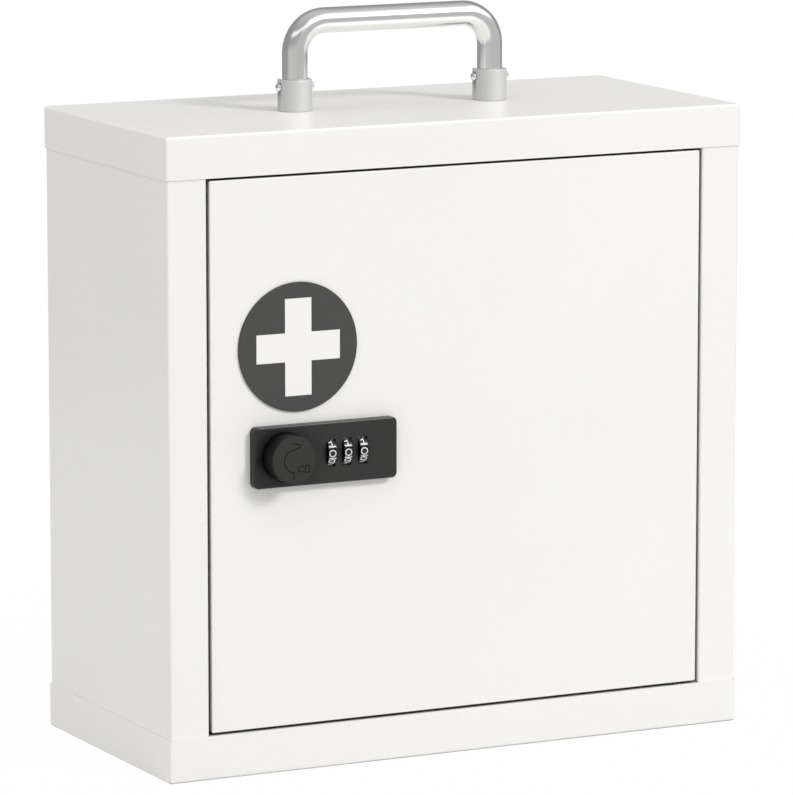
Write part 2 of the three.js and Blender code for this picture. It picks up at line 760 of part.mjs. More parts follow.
function lockHousing() {
  const outline = roundedRectangle(plateWidth / 2, plateHeight / 2, plateCorner);
  const bevelled = new THREE.ExtrudeGeometry(outline, {
    depth: plateThickness,
    bevelThickness: plateBevel,
    bevelSize: plateBevel,
    bevelOffset: -plateBevel,
    bevelSegments: 2,
    curveSegments: 4,
  });
  const stand = new THREE.Matrix4().set(
    1, 0, 0, lockX,
    0, 0, -1, plateBack + plateBevel,
    0, 1, 0, lockZ,
    0, 0, 0, 1,
  );
  const plate = bevelled.applyMatrix4(stand);
  const behind = block(
    lockX - plateWidth,
    lockX + plateWidth,
    plateBack,
    plateBack + plateThickness,
    lockZ - plateHeight,
    lockZ + plateHeight,
  );
  const squared = shape(plate, { cut: [behind] });
  const inPlate = plateBack - plateWeb;
  const barrel = rodY(barrelRadius, inPlate, barrelBack, knobX, lockZ, roundSides);
  const dialCase = block(
    dialMiddleX - dialCaseHalf,
    dialMiddleX + dialCaseHalf,
    inPlate,
    dialCaseBack,
    lockZ - dialCaseRise,
    lockZ + dialCaseRise,
  );
  const ahead = plateFront - overrun;
  const seatFloor = plateFront + knobSeatDepth;
  const knobSeat = rodY(knobRadius + knobSeatGap, ahead, seatFloor, knobX, lockZ, roundSides);
  const bore = rodY(spindleRadius + lockSlip, ahead, barrelBack + overrun, knobX, lockZ, smallSides);
  const room = block(
    dialMiddleX - dialHalfSpan,
    dialMiddleX + dialHalfSpan,
    plateFront + plateWeb,
    dialCaseBack + overrun,
    lockZ - dialRoomHalf,
    lockZ + dialRoomHalf,
  );
  const windows = dialPlaces.map((x) => {
    const z0 = lockZ - windowHeight / 2;
    const z1 = lockZ + windowHeight / 2;
    return block(x - windowWidth / 2, x + windowWidth / 2, ahead, plateFront + plateWeb + overrun, z0, z1);
  });
  const axleEnd = dialMiddleX + dialCaseHalf + overrun;
  const axleStart = dialMiddleX - dialHalfSpan - axleSeat;
  const axleHole = rodX(axleRadius + axleGap, axleStart, axleEnd, dialY, lockZ, smallSides);
  const coverHoles = [-1, 1].map((side) => {
    const bottom = dialCaseBack - coverScrewDepth - holeGap;
    const x = dialMiddleX + side * coverScrewSpread;
    return rodY(coverScrewRadius + holeGap, bottom, dialCaseBack + overrun, x, lockZ, smallSides);
  });
  const screwBottom = plateBack - lockScrewDepth - holeGap;
  const screwX = lockX + lockScrewOffset;
  const screwHole = rodY(
    lockScrewRadius + holeGap,
    screwBottom,
    plateBack + overrun,
    screwX,
    lockZ,
    smallSides,
  );
  return shape(squared, {
    joined: [barrel, dialCase],
    cut: [knobSeat, bore, room, ...windows, axleHole, ...coverHoles, screwHole],
  });
}

// Turns a screw that points along +Z so that it points along -Y, with its head behind y
function fromBehind(geometry, x, y) {
  return turnedOver(geometry).applyMatrix4(zToY).translate(x, y, lockZ);
}

function dial(x) {
  const outline = new THREE.Shape();
  const step = (2 * Math.PI) / digitCount;
  const faceShares = [-digitFaceShare, -digitFaceShare / 2, 0, digitFaceShare / 2, digitFaceShare];
  const points = [];
  for (let digit = 0; digit < digitCount; digit++) {
    const middle = Math.PI + digit * step;
    for (const share of faceShares) {
      points.push([dialRadius, middle + share * step]);
    }
    points.push([dialRadius - dialGroove, middle + step / 2]);
  }
  outline.setFromPoints(points.map(([radius, angle]) => {
    return new THREE.Vector2(radius * Math.cos(angle), radius * Math.sin(angle));
  }));
  const hub = new THREE.Path();
  hub.absarc(0, 0, axleRadius + axleGap, 0, 2 * Math.PI, true);
  outline.holes.push(hub);
  const wheel = extruded(outline, dialWidth).applyMatrix4(zToX);
  return wheel.translate(x - dialWidth / 2, dialY, lockZ);
}

function dialAxle() {
  const x0 = dialMiddleX - dialHalfSpan - axleSeat + holeGap;
  const x1 = dialMiddleX + dialHalfSpan + axleSeat;
  return rodX(axleRadius, x0, x1, dialY, lockZ, smallSides);
}

// One strip of spring steel on the rear cover, with a finger and a bump behind each dial
function detentSpring() {
  const back = dialCaseBack;
  const front = back - springThickness;
  const half = dialHalfSpan - holeGap;
  const top = lockZ + dialRoomHalf - holeGap;
  const strip = block(dialMiddleX - half, dialMiddleX + half, front, back, top - springEdge, top);
  const fingers = dialPlaces.flatMap((x) => {
    const x0 = x - springFinger / 2;
    const x1 = x + springFinger / 2;
    const tip = lockZ - springFinger;
    const bump = rodX(springBump, x0, x1, front, lockZ, smallSides);
    return [block(x0, x1, front, back, tip, top - springEdge / 2), bump];
  });
  const behind = block(
    dialMiddleX - dialCaseHalf,
    dialMiddleX + dialCaseHalf,
    back,
    back + overrun,
    lockZ - dialCaseRise,
    lockZ + dialCaseRise,
  );
  return shape(strip, { joined: fingers, cut: [behind] });
}

function lockRearCover() {
  const back = dialCaseBack + coverThickness;
  const flat = block(
    dialMiddleX - dialCaseHalf,
    dialMiddleX + dialCaseHalf,
    dialCaseBack,
    back,
    lockZ - dialCaseRise,
    lockZ + dialCaseRise,
  );
  const y0 = dialCaseBack - overrun;
  const y1 = back + overrun;
  const holes = [-1, 1].map((side) => {
    const x = dialMiddleX + side * coverScrewSpread;
    return rodY(coverScrewRadius + holeGap, y0, y1, x, lockZ, smallSides);
  });
  const resetZ = lockZ - dialRoomHalf + 2 * resetHoleRadius;
  holes.push(rodY(resetHoleRadius, y0, y1, dialMiddleX, resetZ, smallSides));
  return shape(flat, { cut: holes });
}

function lockNut() {
  const outline = new THREE.Shape();
  const corner = nutFlats / Math.sqrt(3);
  const corners = [];
  for (let k = 0; k < 6; k++) {
    const angle = (k * Math.PI) / 3;
    corners.push(new THREE.Vector2(corner * Math.cos(angle), corner * Math.sin(angle)));
  }
  outline.setFromPoints(corners);
  const front = doorInner + nutWasherThickness;
  const hexagon = upright(outline, front, front + nutThickness).translate(knobX, 0, lockZ);
  const reach = front + nutThickness + overrun;
  const thread = rodY(barrelRadius + threadGap, front - overrun, reach, knobX, lockZ, roundSides);
  return shape(hexagon, { cut: [thread] });
}

function nutWasher() {
  const back = doorInner + nutWasherThickness;
  const flat = ring(barrelRadius + threadGap, nutWasherRadius, doorInner, back, roundSides);
  return flat.applyMatrix4(zToY).translate(knobX, 0, lockZ);
}

function lockScrewWasher() {
  const inner = lockScrewRadius + holeGap;
  const back = doorInner + lockScrewWasherThickness;
  const flat = ring(inner, lockScrewWasherRadius, doorInner, back, smallSides);
  return flat.applyMatrix4(zToY).translate(lockX + lockScrewOffset, 0, lockZ);
}

function lockScrew() {
  const headY = doorInner + lockScrewWasherThickness;
  const length = headY - plateBack + lockScrewDepth;
  const body = screw(lockScrewRadius, length, lockScrewHeadRadius, lockScrewHeadHeight, smallSides);
  return fromBehind(body, lockX + lockScrewOffset, headY);
}

place(door, 'lock_housing', lockHousing(), 'lockBlack');
place(door, 'dial_axle', dialAxle(), 'zinc');
place(door, 'detent_spring', detentSpring(), 'zinc');
place(door, 'lock_rear_cover', lockRearCover(), 'lockBlack');
for (const [name, side] of [['left', -1], ['right', 1]]) {
  const length = coverThickness + coverScrewDepth;
  const body = screw(coverScrewRadius, length, coverScrewHeadRadius, coverScrewHeadHeight, smallSides);
  const x = dialMiddleX + side * coverScrewSpread;
  place(door, `cover_screw_${name}`, fromBehind(body, x, dialCaseBack + coverThickness), 'zinc');
}
place(door, 'lock_nut', lockNut(), 'zinc');
place(door, 'lock_nut_washer', nutWasher(), 'zinc');
place(door, 'lock_screw', lockScrew(), 'zinc');
place(door, 'lock_screw_washer', lockScrewWasher(), 'zinc');
dialPlaces.forEach((x, i) => place(door, `dial_${i + 1}`, dial(x), 'dialBlack'));

// Knob: the grip and its spindle are one casting, and the cam is screwed to the spindle's square end

function lockKnob() {
  const profile = [
    [0, knobFront],
    [knobRadius - knobEdge, knobFront],
    [knobRadius, knobFront + knobEdge],
    [knobRadius, knobBack],
    [spindleRadius, knobBack],
    [spindleRadius, camFront],
    [0, camFront],
  ];
  const grip = turned(profile, roundSides).applyMatrix4(zToY).translate(knobX, 0, lockZ);
  const half = camSquare / 2;
  const root = camFront - camThickness;
  const squareBack = camBack - camSquareGap;
  const square = block(knobX - half, knobX + half, root, squareBack, lockZ - half, lockZ + half);
  const holeRadius = camScrewRadius + holeGap;
  const hole = rodY(holeRadius, camBack - camScrewDepth, camBack + overrun, knobX, lockZ, smallSides);
  return shape(grip, { joined: [square], cut: [hole] });
}

function lockCam() {
  const half = camWidth / 2;
  const corner = half / 2;
  const outline = new THREE.Shape();
  outline.absarc(0, 0, half, 0, Math.PI, false);
  outline.absarc(-half + corner, -camLength + corner, corner, Math.PI, 1.5 * Math.PI, false);
  outline.absarc(half - corner, -camLength + corner, corner, 1.5 * Math.PI, 2 * Math.PI, false);
  const arm = upright(outline, camFront, camBack).translate(knobX, 0, lockZ);
  const hole = camSquare / 2 + camSquareGap;
  const square = block(
    knobX - hole,
    knobX + hole,
    camFront - overrun,
    camBack + overrun,
    lockZ - hole,
    lockZ + hole,
  );
  return shape(arm, { cut: [square] });
}

function camWasher() {
  const inner = camScrewRadius + holeGap;
  const flat = ring(inner, camWasherRadius, camBack, camBack + camWasherThickness, smallSides);
  return flat.applyMatrix4(zToY).translate(knobX, 0, lockZ);
}

function camScrew() {
  const length = camWasherThickness + camScrewDepth - holeGap;
  const body = screw(camScrewRadius, length, camScrewHeadRadius, camScrewHeadHeight, smallSides);
  return fromBehind(body, knobX, camBack + camWasherThickness);
}

place(door, 'lock_knob', lockKnob(), 'lockBlack');
place(door, 'lock_cam', lockCam(), 'zinc');
place(door, 'cam_washer', camWasher(), 'zinc');
place(door, 'cam_screw', camScrew(), 'zinc');

export default box;
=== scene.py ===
"""The looks of the medication lock box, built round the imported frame.
Metres throughout: +X is right, +Y is back, +Z is up, and the origin is the centre of the base."""
import json
import math

import bmesh
import bpy
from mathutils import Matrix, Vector


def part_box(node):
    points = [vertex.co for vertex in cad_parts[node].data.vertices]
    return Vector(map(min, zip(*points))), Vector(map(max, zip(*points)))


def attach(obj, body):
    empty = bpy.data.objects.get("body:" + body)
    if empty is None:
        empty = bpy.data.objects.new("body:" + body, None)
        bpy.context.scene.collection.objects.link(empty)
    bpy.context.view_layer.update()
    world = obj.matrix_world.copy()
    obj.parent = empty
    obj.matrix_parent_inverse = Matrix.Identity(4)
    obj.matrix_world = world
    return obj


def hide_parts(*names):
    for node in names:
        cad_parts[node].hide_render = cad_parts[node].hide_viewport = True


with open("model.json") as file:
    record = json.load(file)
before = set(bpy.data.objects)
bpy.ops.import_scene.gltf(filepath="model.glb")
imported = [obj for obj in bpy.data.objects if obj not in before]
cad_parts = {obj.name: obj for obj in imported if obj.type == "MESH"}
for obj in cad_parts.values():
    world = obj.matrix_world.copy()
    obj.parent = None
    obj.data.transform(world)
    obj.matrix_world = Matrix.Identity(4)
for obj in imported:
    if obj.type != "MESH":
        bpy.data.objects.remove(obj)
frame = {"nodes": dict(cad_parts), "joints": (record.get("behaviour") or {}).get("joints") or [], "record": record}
bpy.context.view_layer.update()
nodes = frame["nodes"]
slots = {subpart["node"]: subpart["material_slot"] for subpart in frame["record"]["subparts"]}
joints = {joint["name"]: Vector(joint["pos_m"]) for joint in frame["joints"]}
MM = 0.001
RIGHT = Vector((1, 0, 0))
BACK = Vector((0, 1, 0))
UP = Vector((0, 0, 1))


# Places read from the frame

def centre(node):
    low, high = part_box(node)
    return (low + high) / 2


def span(node):
    low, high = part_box(node)
    return high - low


plate_low, plate_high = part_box("lock_housing")
plate_front = plate_low.y
lock_x = centre("lock_housing").x
lock_z = centre("lock_housing").z
knob_x = joints["knob_turn"].x
dial_nodes = ["dial_1", "dial_2", "dial_3"]
dial_middle_x = centre("dial_2").x
dial_y = joints["dial_middle_turn"].y
dial_radius = span("dial_2").z / 2
box_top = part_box("top_cap")[1].z
pivot_z = joints["handle_fold"].z

# Sizes that no box of the frame gives

SHOWN_SIDES = 128
SMALL_SIDES = 64
HOLE_SIDES = 32
BARREL_SIDES = 96
CORNER_STEPS = 12
# The corners of a rectangle, anticlockwise from the one at the top right
CORNER_SIGNS = [(1, 1), (-1, 1), (-1, -1), (1, -1)]
# How far a corner of a drawn line may reach out, in half widths
MITRE_LIMIT = 2
TIP = 0.01 * MM
OVERRUN = 2 * MM
DOUBLES_DISTANCE = 0.0002 * MM
WELD_DISTANCE = 0.001 * MM
SHARP_DEGREES = 32
ROD_SHARP_DEGREES = 50
WHEEL_SHARP_DEGREES = 20

HANDLE_BEND = 15 * MM
BEND_STEPS = 24
END_STEPS = 8
# Where rings stand on the straight parts, as shares of their length
LEG_RINGS = (0.1, 0.5, 0.97)
BAR_RINGS = (0.98, 0.4)
LEG_GAP = 0.4 * MM
FERRULE_EDGE = 0.5 * MM
CROSS_PIN_RADIUS = 1.5 * MM
CROSS_PIN_GAP = 0.25 * MM
CROSS_PIN_HEAD = 1.7 * MM
PIN_DOME_STEPS = 10
SCREW_DOME_STEPS = 8

PLATE_THICKNESS = 4.5 * MM
PLATE_CORNER = 2.6 * MM
PLATE_EDGE = 0.4 * MM
PLATE_BEVEL_WIDTH = 0.7 * MM
PLATE_BEVEL_DEPTH = 0.33 * MM
PLATE_WEB = 1.2 * MM
WINDOW_WIDTH = 4.6 * MM
WINDOW_HEIGHT = 12.8 * MM
BARREL_ROOT = 7.9 * MM
BARREL_CREST = 8.2 * MM
BARREL_PITCH = 1 * MM
BARREL_PLAIN = 2.4 * MM
RINGS_IN_PITCH = 8
SPINDLE_RADIUS = 4.4 * MM
SPINDLE_SLIP = 0.3 * MM
KNOB_EDGE = 0.4 * MM
KNOB_SEAT_DEPTH = 1 * MM
KNOB_SEAT_GAP = 0.8 * MM
KNOB_FLOAT = 0.5 * MM
MARK_WIDTH = 0.5 * MM
MARK_DEPTH = 0.35 * MM
MARK_SLIP = 0.02 * MM
CAM_SQUARE = 6 * MM
CAM_SQUARE_GAP = 0.15 * MM
CAM_SCREW_DEPTH = 8 * MM
CAM_EDGE = 0.3 * MM

DIGITS = 10
DIGIT_WIDTH = 3.5 * MM
DIGIT_ASIDE = -0.25 * MM
DIGIT_HEIGHT = 3.3 * MM
DIGIT_STROKE = 0.48 * MM
DIGIT_RELIEF = 0.03 * MM
DIGIT_STEP = 0.3 * MM
# Each stroke of a digit stands higher than the one before by this share of the relief, so that strokes
# that cross don't flicker
STROKE_LIFT = 0.125
WHEEL_GROOVE = 0.5 * MM
WHEEL_FACE_SHARE = 0.38
HALF_FACE_STEPS = 4
WHEEL_EDGE = 0.2 * MM
AXLE_RADIUS = 1.5 * MM
AXLE_GAP = 0.25 * MM
AXLE_SEAT = 3 * MM
AXLE_EDGE = 0.2 * MM
DIAL_ROOM_BESIDE = 0.6 * MM
DIAL_ROOM_ABOVE = 0.8 * MM
DIAL_CASE_END = 4.5 * MM
COVER_CORNER = 1 * MM
COVER_FRONT_EDGE = 0.1 * MM
COVER_BACK_EDGE = 0.3 * MM
COVER_HOLE = 1.2 * MM
COVER_SCREW_DEPTH = 3.8 * MM
RESET_HOLE = 1.1 * MM
LOCK_SCREW_OFFSET = 31.5 * MM
LOCK_SCREW_HOLE = 1.55 * MM
LOCK_SCREW_DEPTH = 3.1 * MM
NUT_FLATS = 22 * MM
NUT_CHAMFER_START = 1.01
NUT_CHAMFER_SLOPE = 0.577
THREAD_GAP = 0.05 * MM

BUSH_BORE = 2.2 * MM
BUSH_TUBE = 2.9 * MM
BUSH_FLANGE = 0.9 * MM
BUSH_EDGE = 0.15 * MM
PAD_EDGE_SHARE = 0.4
# The cross recess of a screw, as shares of its head's radius and height
RECESS_LENGTH = 0.58
RECESS_WIDTH = 0.13
RECESS_DEPTH = 0.55

EMBLEM_EDGE = 0.25 * MM
CROSS_WIDTH = 42.6 * MM
CROSS_HEIGHT = 45.4 * MM
CROSS_ARM = 13.5 * MM
PLUS_SLIP = 0.02 * MM

# Each screw or headed pin: its body, the way from its tip to its head, the radius of its shank, the
# height of its head, and whether the head has a cross recess
SCREWS = {
    "hinge_pin_top": ("case", UP, 2 * MM, 1.4 * MM, False),
    "hinge_pin_bottom": ("case", -UP, 2 * MM, 1.4 * MM, False),
    "ferrule_screw_left": ("case", -UP, 2.2 * MM, 2.6 * MM, True),
    "ferrule_screw_right": ("case", -UP, 2.2 * MM, 2.6 * MM, True),
    "cover_screw_left": ("door", BACK, 0.9 * MM, 1.2 * MM, True),
    "cover_screw_right": ("door", BACK, 0.9 * MM, 1.2 * MM, True),
    "lock_screw": ("door", BACK, 1.25 * MM, 1.8 * MM, True),
    "cam_screw": ("knob", BACK, 1.8 * MM, 2.4 * MM, True),
}

# Each washer: its body, its axis and the radius of its hole
WASHERS = {
    "ferrule_washer_left": ("case", UP, 2.5 * MM),
    "ferrule_washer_right": ("case", UP, 2.5 * MM),
    "lock_nut_washer": ("door", BACK, 8.25 * MM),
    "lock_screw_washer": ("door", BACK, 1.55 * MM),
    "cam_washer": ("knob", BACK, 2.1 * MM),
}


# Materials

def grey(level):
    return (level, level, level, 1)


def written(red, green, blue):
    """A colour given as it looks on screen, from 0 to 255, as the linear colour that a shader takes."""
    def linear(value):
        share = value / 255
        return share / 12.92 if share <= 0.04045 else ((share + 0.055) / 1.055) ** 2.4
    return (linear(red), linear(green), linear(blue), 1)


def shade(colour, share):
    return tuple(channel * share for channel in colour[:3]) + (1,)


def ranged(tree, value, low, high, first=0.0, last=1.0, smooth=False):
    """A value between first and last, turned into one between low and high."""
    node = tree.nodes.new("ShaderNodeMapRange")
    if smooth:
        node.interpolation_type = "SMOOTHSTEP"
    node.inputs["From Min"].default_value = first
    node.inputs["From Max"].default_value = last
    node.inputs["To Min"].default_value = low
    node.inputs["To Max"].default_value = high
    tree.links.new(value, node.inputs["Value"])
    return node.outputs["Result"]


def ramped(tree, value, stops):
    """The colour at a value, between stops that each give a place and a colour."""
    node = tree.nodes.new("ShaderNodeValToRGB")
    while len(node.color_ramp.elements) < len(stops):
        node.color_ramp.elements.new(0.5)
    for element, (position, colour) in zip(node.color_ramp.elements, stops):
        element.position = position
        element.color = colour
    tree.links.new(value, node.inputs["Fac"])
    return node.outputs["Color"]


def worked_out(tree, operation, first, second):
    node = tree.nodes.new("ShaderNodeMath")
    node.operation = operation
    tree.links.new(first, node.inputs[0])
    tree.links.new(second, node.inputs[1])
    return node.outputs[0]


def mixed(tree, share, first, second):
    """The first shader where the share is 0, and the second where it is 1."""
    node = tree.nodes.new("ShaderNodeMixShader")
    tree.links.new(share, node.inputs["Fac"])
    tree.links.new(first, node.inputs[1])
    tree.links.new(second, node.inputs[2])
    return node.outputs["Shader"]


# Noise scales of powder coat, in spots per metre: its drift of tone and of gloss, its peel and its grain
COAT_TONE = 9
COAT_GLOSS = 45
COAT_PEEL = 520
COAT_GRAIN = 2600
PEEL_HEIGHT = 0.004 * MM
# Samples of the ambient occlusion that places the painted crevice shade
CREVICE_SAMPLES = 6
# Where a face turns from the front to a flank, by how far its normal points back; painted flank shade grows over
# this span
FLANK_TURN = (-0.8, -0.4)


class Look:
    """A material with a Principled shader and short calls for the nodes that feed it."""

    def __init__(self, name, roughness, metallic=0.0, specular=0.5):
        self.material = bpy.data.materials.new(name)
        self.material.use_nodes = True
        self.tree = self.material.node_tree
        self.link = self.tree.links.new
        self.shader = self.tree.nodes["Principled BSDF"]
        self.shader.inputs["Metallic"].default_value = metallic
        self.shader.inputs["Roughness"].default_value = roughness
        self.shader.inputs["Specular IOR Level"].default_value = specular
        self.place = self.tree.nodes.new("ShaderNodeTexCoord").outputs["Object"]

    def stretched(self, scale):
        mapping = self.tree.nodes.new("ShaderNodeMapping")
        mapping.inputs["Scale"].default_value = scale
        self.link(self.place, mapping.inputs["Vector"])
        return mapping.outputs["Vector"]

    def noise(self, scale, detail=2.0, place=None):
        node = self.tree.nodes.new("ShaderNodeTexNoise")
        node.inputs["Scale"].default_value = scale
        node.inputs["Detail"].default_value = detail
        self.link(place or self.place, node.inputs["Vector"])
        return node.outputs["Fac"]

    def colour(self, value, stops):
        self.link(ramped(self.tree, value, stops), self.shader.inputs["Base Color"])

    def roughness(self, value, low, high):
        self.link(ranged(self.tree, value, low, high), self.shader.inputs["Roughness"])

    def bump(self, value, height):
        node = self.tree.nodes.new("ShaderNodeBump")
        node.inputs["Distance"].default_value = height
        last = self.shader.inputs["Normal"].links
        if last:
            self.link(last[0].from_socket, node.inputs["Normal"])
        self.link(value, node.inputs["Height"])
        self.link(node.outputs["Normal"], self.shader.inputs["Normal"])

    def openness(self, reach):
        node = self.tree.nodes.new("ShaderNodeAmbientOcclusion")
        node.samples = CREVICE_SAMPLES
        node.inputs["Distance"].default_value = reach
        return node.outputs["AO"]

    def painted_crevice_shade(self, reach, darkest, closed, open_enough):
        """Painted shade in narrow gaps and hollows: the colour falls off where little of the room is open."""
        self.darken(ranged(self.tree, self.openness(reach), darkest, 1, closed, open_enough))

    def darken(self, share):
        """Multiplies the colour by a share."""
        mix = self.tree.nodes.new("ShaderNodeMix")
        mix.data_type = "RGBA"
        mix.blend_type = "MULTIPLY"
        mix.inputs["Factor"].default_value = 1
        colour = self.shader.inputs["Base Color"]
        self.link(colour.links[0].from_socket, mix.inputs["A"])
        self.link(share, mix.inputs["B"])
        self.link(mix.outputs["Result"], colour)

    def painted_flank_shade(self, darkest):
        """Painted shade: a darker colour on faces that look away from the front."""
        parts = self.tree.nodes.new("ShaderNodeSeparateXYZ")
        normal = self.tree.nodes.new("ShaderNodeTexCoord").outputs["Normal"]
        self.link(normal, parts.inputs[0])
        self.darken(ranged(self.tree, parts.outputs["Y"], 1, darkest, *FLANK_TURN))


def paint_look(name, colour, roughness, specular, peel=PEEL_HEIGHT):
    """Baked powder coat: a faint orange peel, finer grain over it, and a slow drift of tone and gloss."""
    look = Look(name, roughness, specular=specular)
    look.colour(look.noise(COAT_TONE, 3), [(0.35, shade(colour, 0.985)), (0.65, colour)])
    look.roughness(look.noise(COAT_GLOSS, 3), roughness - 0.03, roughness + 0.03)
    look.bump(look.noise(COAT_PEEL, 2), peel)
    look.bump(look.noise(COAT_GRAIN, 3), peel / 8)
    return look


def metal_look(name, colour, roughness, streaks, depth, metallic=1.0):
    """Bright metal: fine lines along its polish and a roughness that wanders between two values."""
    look = Look(name, roughness[0], metallic)
    fine = look.noise(1, 3, look.stretched(streaks))
    look.colour(look.noise(60, 3), [(0.3, shade(colour, 0.97)), (0.7, colour)])
    look.roughness(fine, *roughness)
    look.bump(fine, depth)
    return look


def plastic_look(name, colour, roughness, specular, grain, depth):
    look = Look(name, roughness, specular=specular)
    look.colour(look.noise(110, 4), [(0.35, shade(colour, 0.88)), (0.65, colour)])
    look.roughness(look.noise(300, 2), roughness - 0.04, roughness + 0.04)
    look.bump(look.noise(grain, 3), depth)
    return look


def made_looks():
    white = paint_look("white_powder_coat", written(247, 246, 242), roughness=0.32, specular=0.5)
    # Painted shade: the white coat darkens deep in the door gaps and other narrow hollows
    white.painted_crevice_shade(reach=6 * MM, darkest=0.18, closed=0.12, open_enough=0.34)
    black = paint_look("black_coat", written(46, 46, 45), roughness=0.32, specular=0.3)
    knob = paint_look("knob_black", written(56, 56, 55), roughness=0.5, specular=0.12)
    # Painted shade on the knob's side wall, which faces away from the front
    knob.painted_flank_shade(darkest=0.3)
    # Painted shade: the black plate and the knob darken round the knob and in the lock's hollows, out to 16 mm
    black.painted_crevice_shade(reach=16 * MM, darkest=0.05, closed=0.45, open_enough=0.95)
    knob.painted_crevice_shade(reach=16 * MM, darkest=0.3, closed=0.45, open_enough=0.95)
    chrome = (0.86, 0.86, 0.855, 1)
    zinc = (0.47, 0.48, 0.50, 1)
    return {
        "white_paint": white,
        "chrome": metal_look(
            "polished_chrome", chrome, (0.13, 0.17), streaks=(700, 700, 700), depth=0.0001 * MM),
        "sleeve": metal_look(
            "satin_chrome", shade(chrome, 0.78), (0.6, 0.7),
            streaks=(900, 900, 90), depth=0.0006 * MM, metallic=0.6),
        "zinc": metal_look(
            "zinc_plate", zinc, (0.3, 0.46), streaks=(400, 400, 400), depth=0.003 * MM),
        "dark_disc": paint_look(
            "dark_disc_paint", written(71, 71, 70), roughness=0.5, specular=0.3, peel=PEEL_HEIGHT / 2),
        "lock_black": black,
        "knob_black": knob,
        "mark_black": paint_look(
            "mark_fill", written(14, 14, 14), roughness=0.6, specular=0.2, peel=PEEL_HEIGHT / 2),
        "dial_black": plastic_look(
            "wheel_black", grey(0.005), roughness=0.28, specular=0.5, grain=1500, depth=0.0005 * MM),
        "rubber": plastic_look(
            "pad_rubber", grey(0.022), roughness=0.82, specular=0.3, grain=2200, depth=0.01 * MM),
        "nylon": plastic_look(
            "bush_nylon", grey(0.03), roughness=0.5, specular=0.4, grain=900, depth=0.003 * MM),
        "digit_white": plastic_look(
            "digit_paint", (0.86, 0.86, 0.85, 1),
            roughness=0.45, specular=0.4, grain=1800, depth=0.002 * MM),
    }


looks = {name: look.material for name, look in made_looks().items()}


# Meshes

def mesh_of(vertices, faces):
    mesh = bpy.data.meshes.new("piece")
    mesh.from_pydata([tuple(v) for v in vertices], [], faces)
    tidy = bmesh.new()
    tidy.from_mesh(mesh)
    bmesh.ops.remove_doubles(tidy, verts=tidy.verts, dist=DOUBLES_DISTANCE)
    bmesh.ops.recalc_face_normals(tidy, faces=tidy.faces)
    tidy.to_mesh(mesh)
    tidy.free()
    return mesh


def joined(meshes):
    tidy = bmesh.new()
    for mesh in meshes:
        tidy.from_mesh(mesh)
    result = bpy.data.meshes.new("piece")
    tidy.to_mesh(result)
    tidy.free()
    return result


def skinned(rings, closed=False):
    """A skin over rings of points, with flat ends unless the rings close on themselves."""
    count = len(rings[0])
    vertices = [point for ring in rings for point in ring]
    last_start = len(vertices) - count
    faces = []
    for i in range(len(rings) if closed else len(rings) - 1):
        a = i * count
        b = (i + 1) % len(rings) * count
        for k in range(count):
            following = (k + 1) % count
            faces.append((a + k, a + following, b + following, b + k))
    if not closed:
        faces.append(tuple(range(count)))
        faces.append(tuple(range(last_start, len(vertices))))
    return mesh_of(vertices, faces)


def turned(profile, sides, axis, origin, closed=False):
    """A turned piece about an axis from its origin: the profile is [radius, distance along the axis]."""
    turn = UP.rotation_difference(axis).to_matrix()
    rings = []
    for radius, along in profile:
        ring = []
        for k in range(sides):
            angle = 2 * math.pi * k / sides
            ring.append(origin + turn @ Vector((radius * math.cos(angle), radius * math.sin(angle), along)))
        rings.append(ring)
    return skinned(rings, closed)


def rod(radius, start, axis, length, sides=SMALL_SIDES):
    return turned([(radius, 0), (radius, length)], sides, axis, start)


def bored(radius, through, axis, reach, sides=SMALL_SIDES):
    """A rod that runs past both sides of a point by the same reach, to cut a hole with."""
    return rod(radius, through - axis * reach, axis, 2 * reach, sides)


def block(low, high):
    ends = list(zip(low, high))
    corners = [Vector((x, y, z)) for x in ends[0] for y in ends[1] for z in ends[2]]
    faces = [(0, 1, 3, 2), (4, 6, 7, 5), (0, 4, 5, 1), (2, 3, 7, 6), (0, 2, 6, 4), (1, 5, 7, 3)]
    return mesh_of(corners, faces)


def combined(mesh, tool_meshes, operation="DIFFERENCE"):
    """The mesh after a boolean with each tool in turn."""
    base = bpy.data.objects.new("boolean_base", mesh)
    bpy.context.scene.collection.objects.link(base)
    tools = []
    for tool_mesh in tool_meshes:
        tool = bpy.data.objects.new("boolean_tool", tool_mesh)
        bpy.context.scene.collection.objects.link(tool)
        cut = base.modifiers.new("cut", "BOOLEAN")
        cut.operation = operation
        cut.solver = "EXACT"
        cut.object = tool
        tools.append(tool)
    bpy.context.view_layer.update()
    evaluated = base.evaluated_get(bpy.context.evaluated_depsgraph_get())
    result = bpy.data.meshes.new_from_object(evaluated)
    for leftover in [base, *tools]:
        bpy.data.objects.remove(leftover)
    return result


def rounding(radius, steps=4):
    """Steps round a quarter circle: how far each is in from the side and down from the face."""
    turns = [math.pi / 2 * k / steps for k in range(steps + 1)]
    return [(radius * (1 - math.sin(turn)), radius * (1 - math.cos(turn))) for turn in turns]


def rounded_rim(radius, top, edge):
    """The profile of a rounded edge, from the side of a turned piece to its flat end."""
    return [(radius - inset, top - down) for inset, down in reversed(rounding(edge))]


def dome(radius, seat, rise, steps):
    """The profile of a dome, from its rim to its tip."""
    turns = [math.pi / 2 * k / steps for k in range(steps)]
    return [(radius * math.cos(t), seat + rise * math.sin(t)) for t in turns] + [(TIP, seat + rise)]


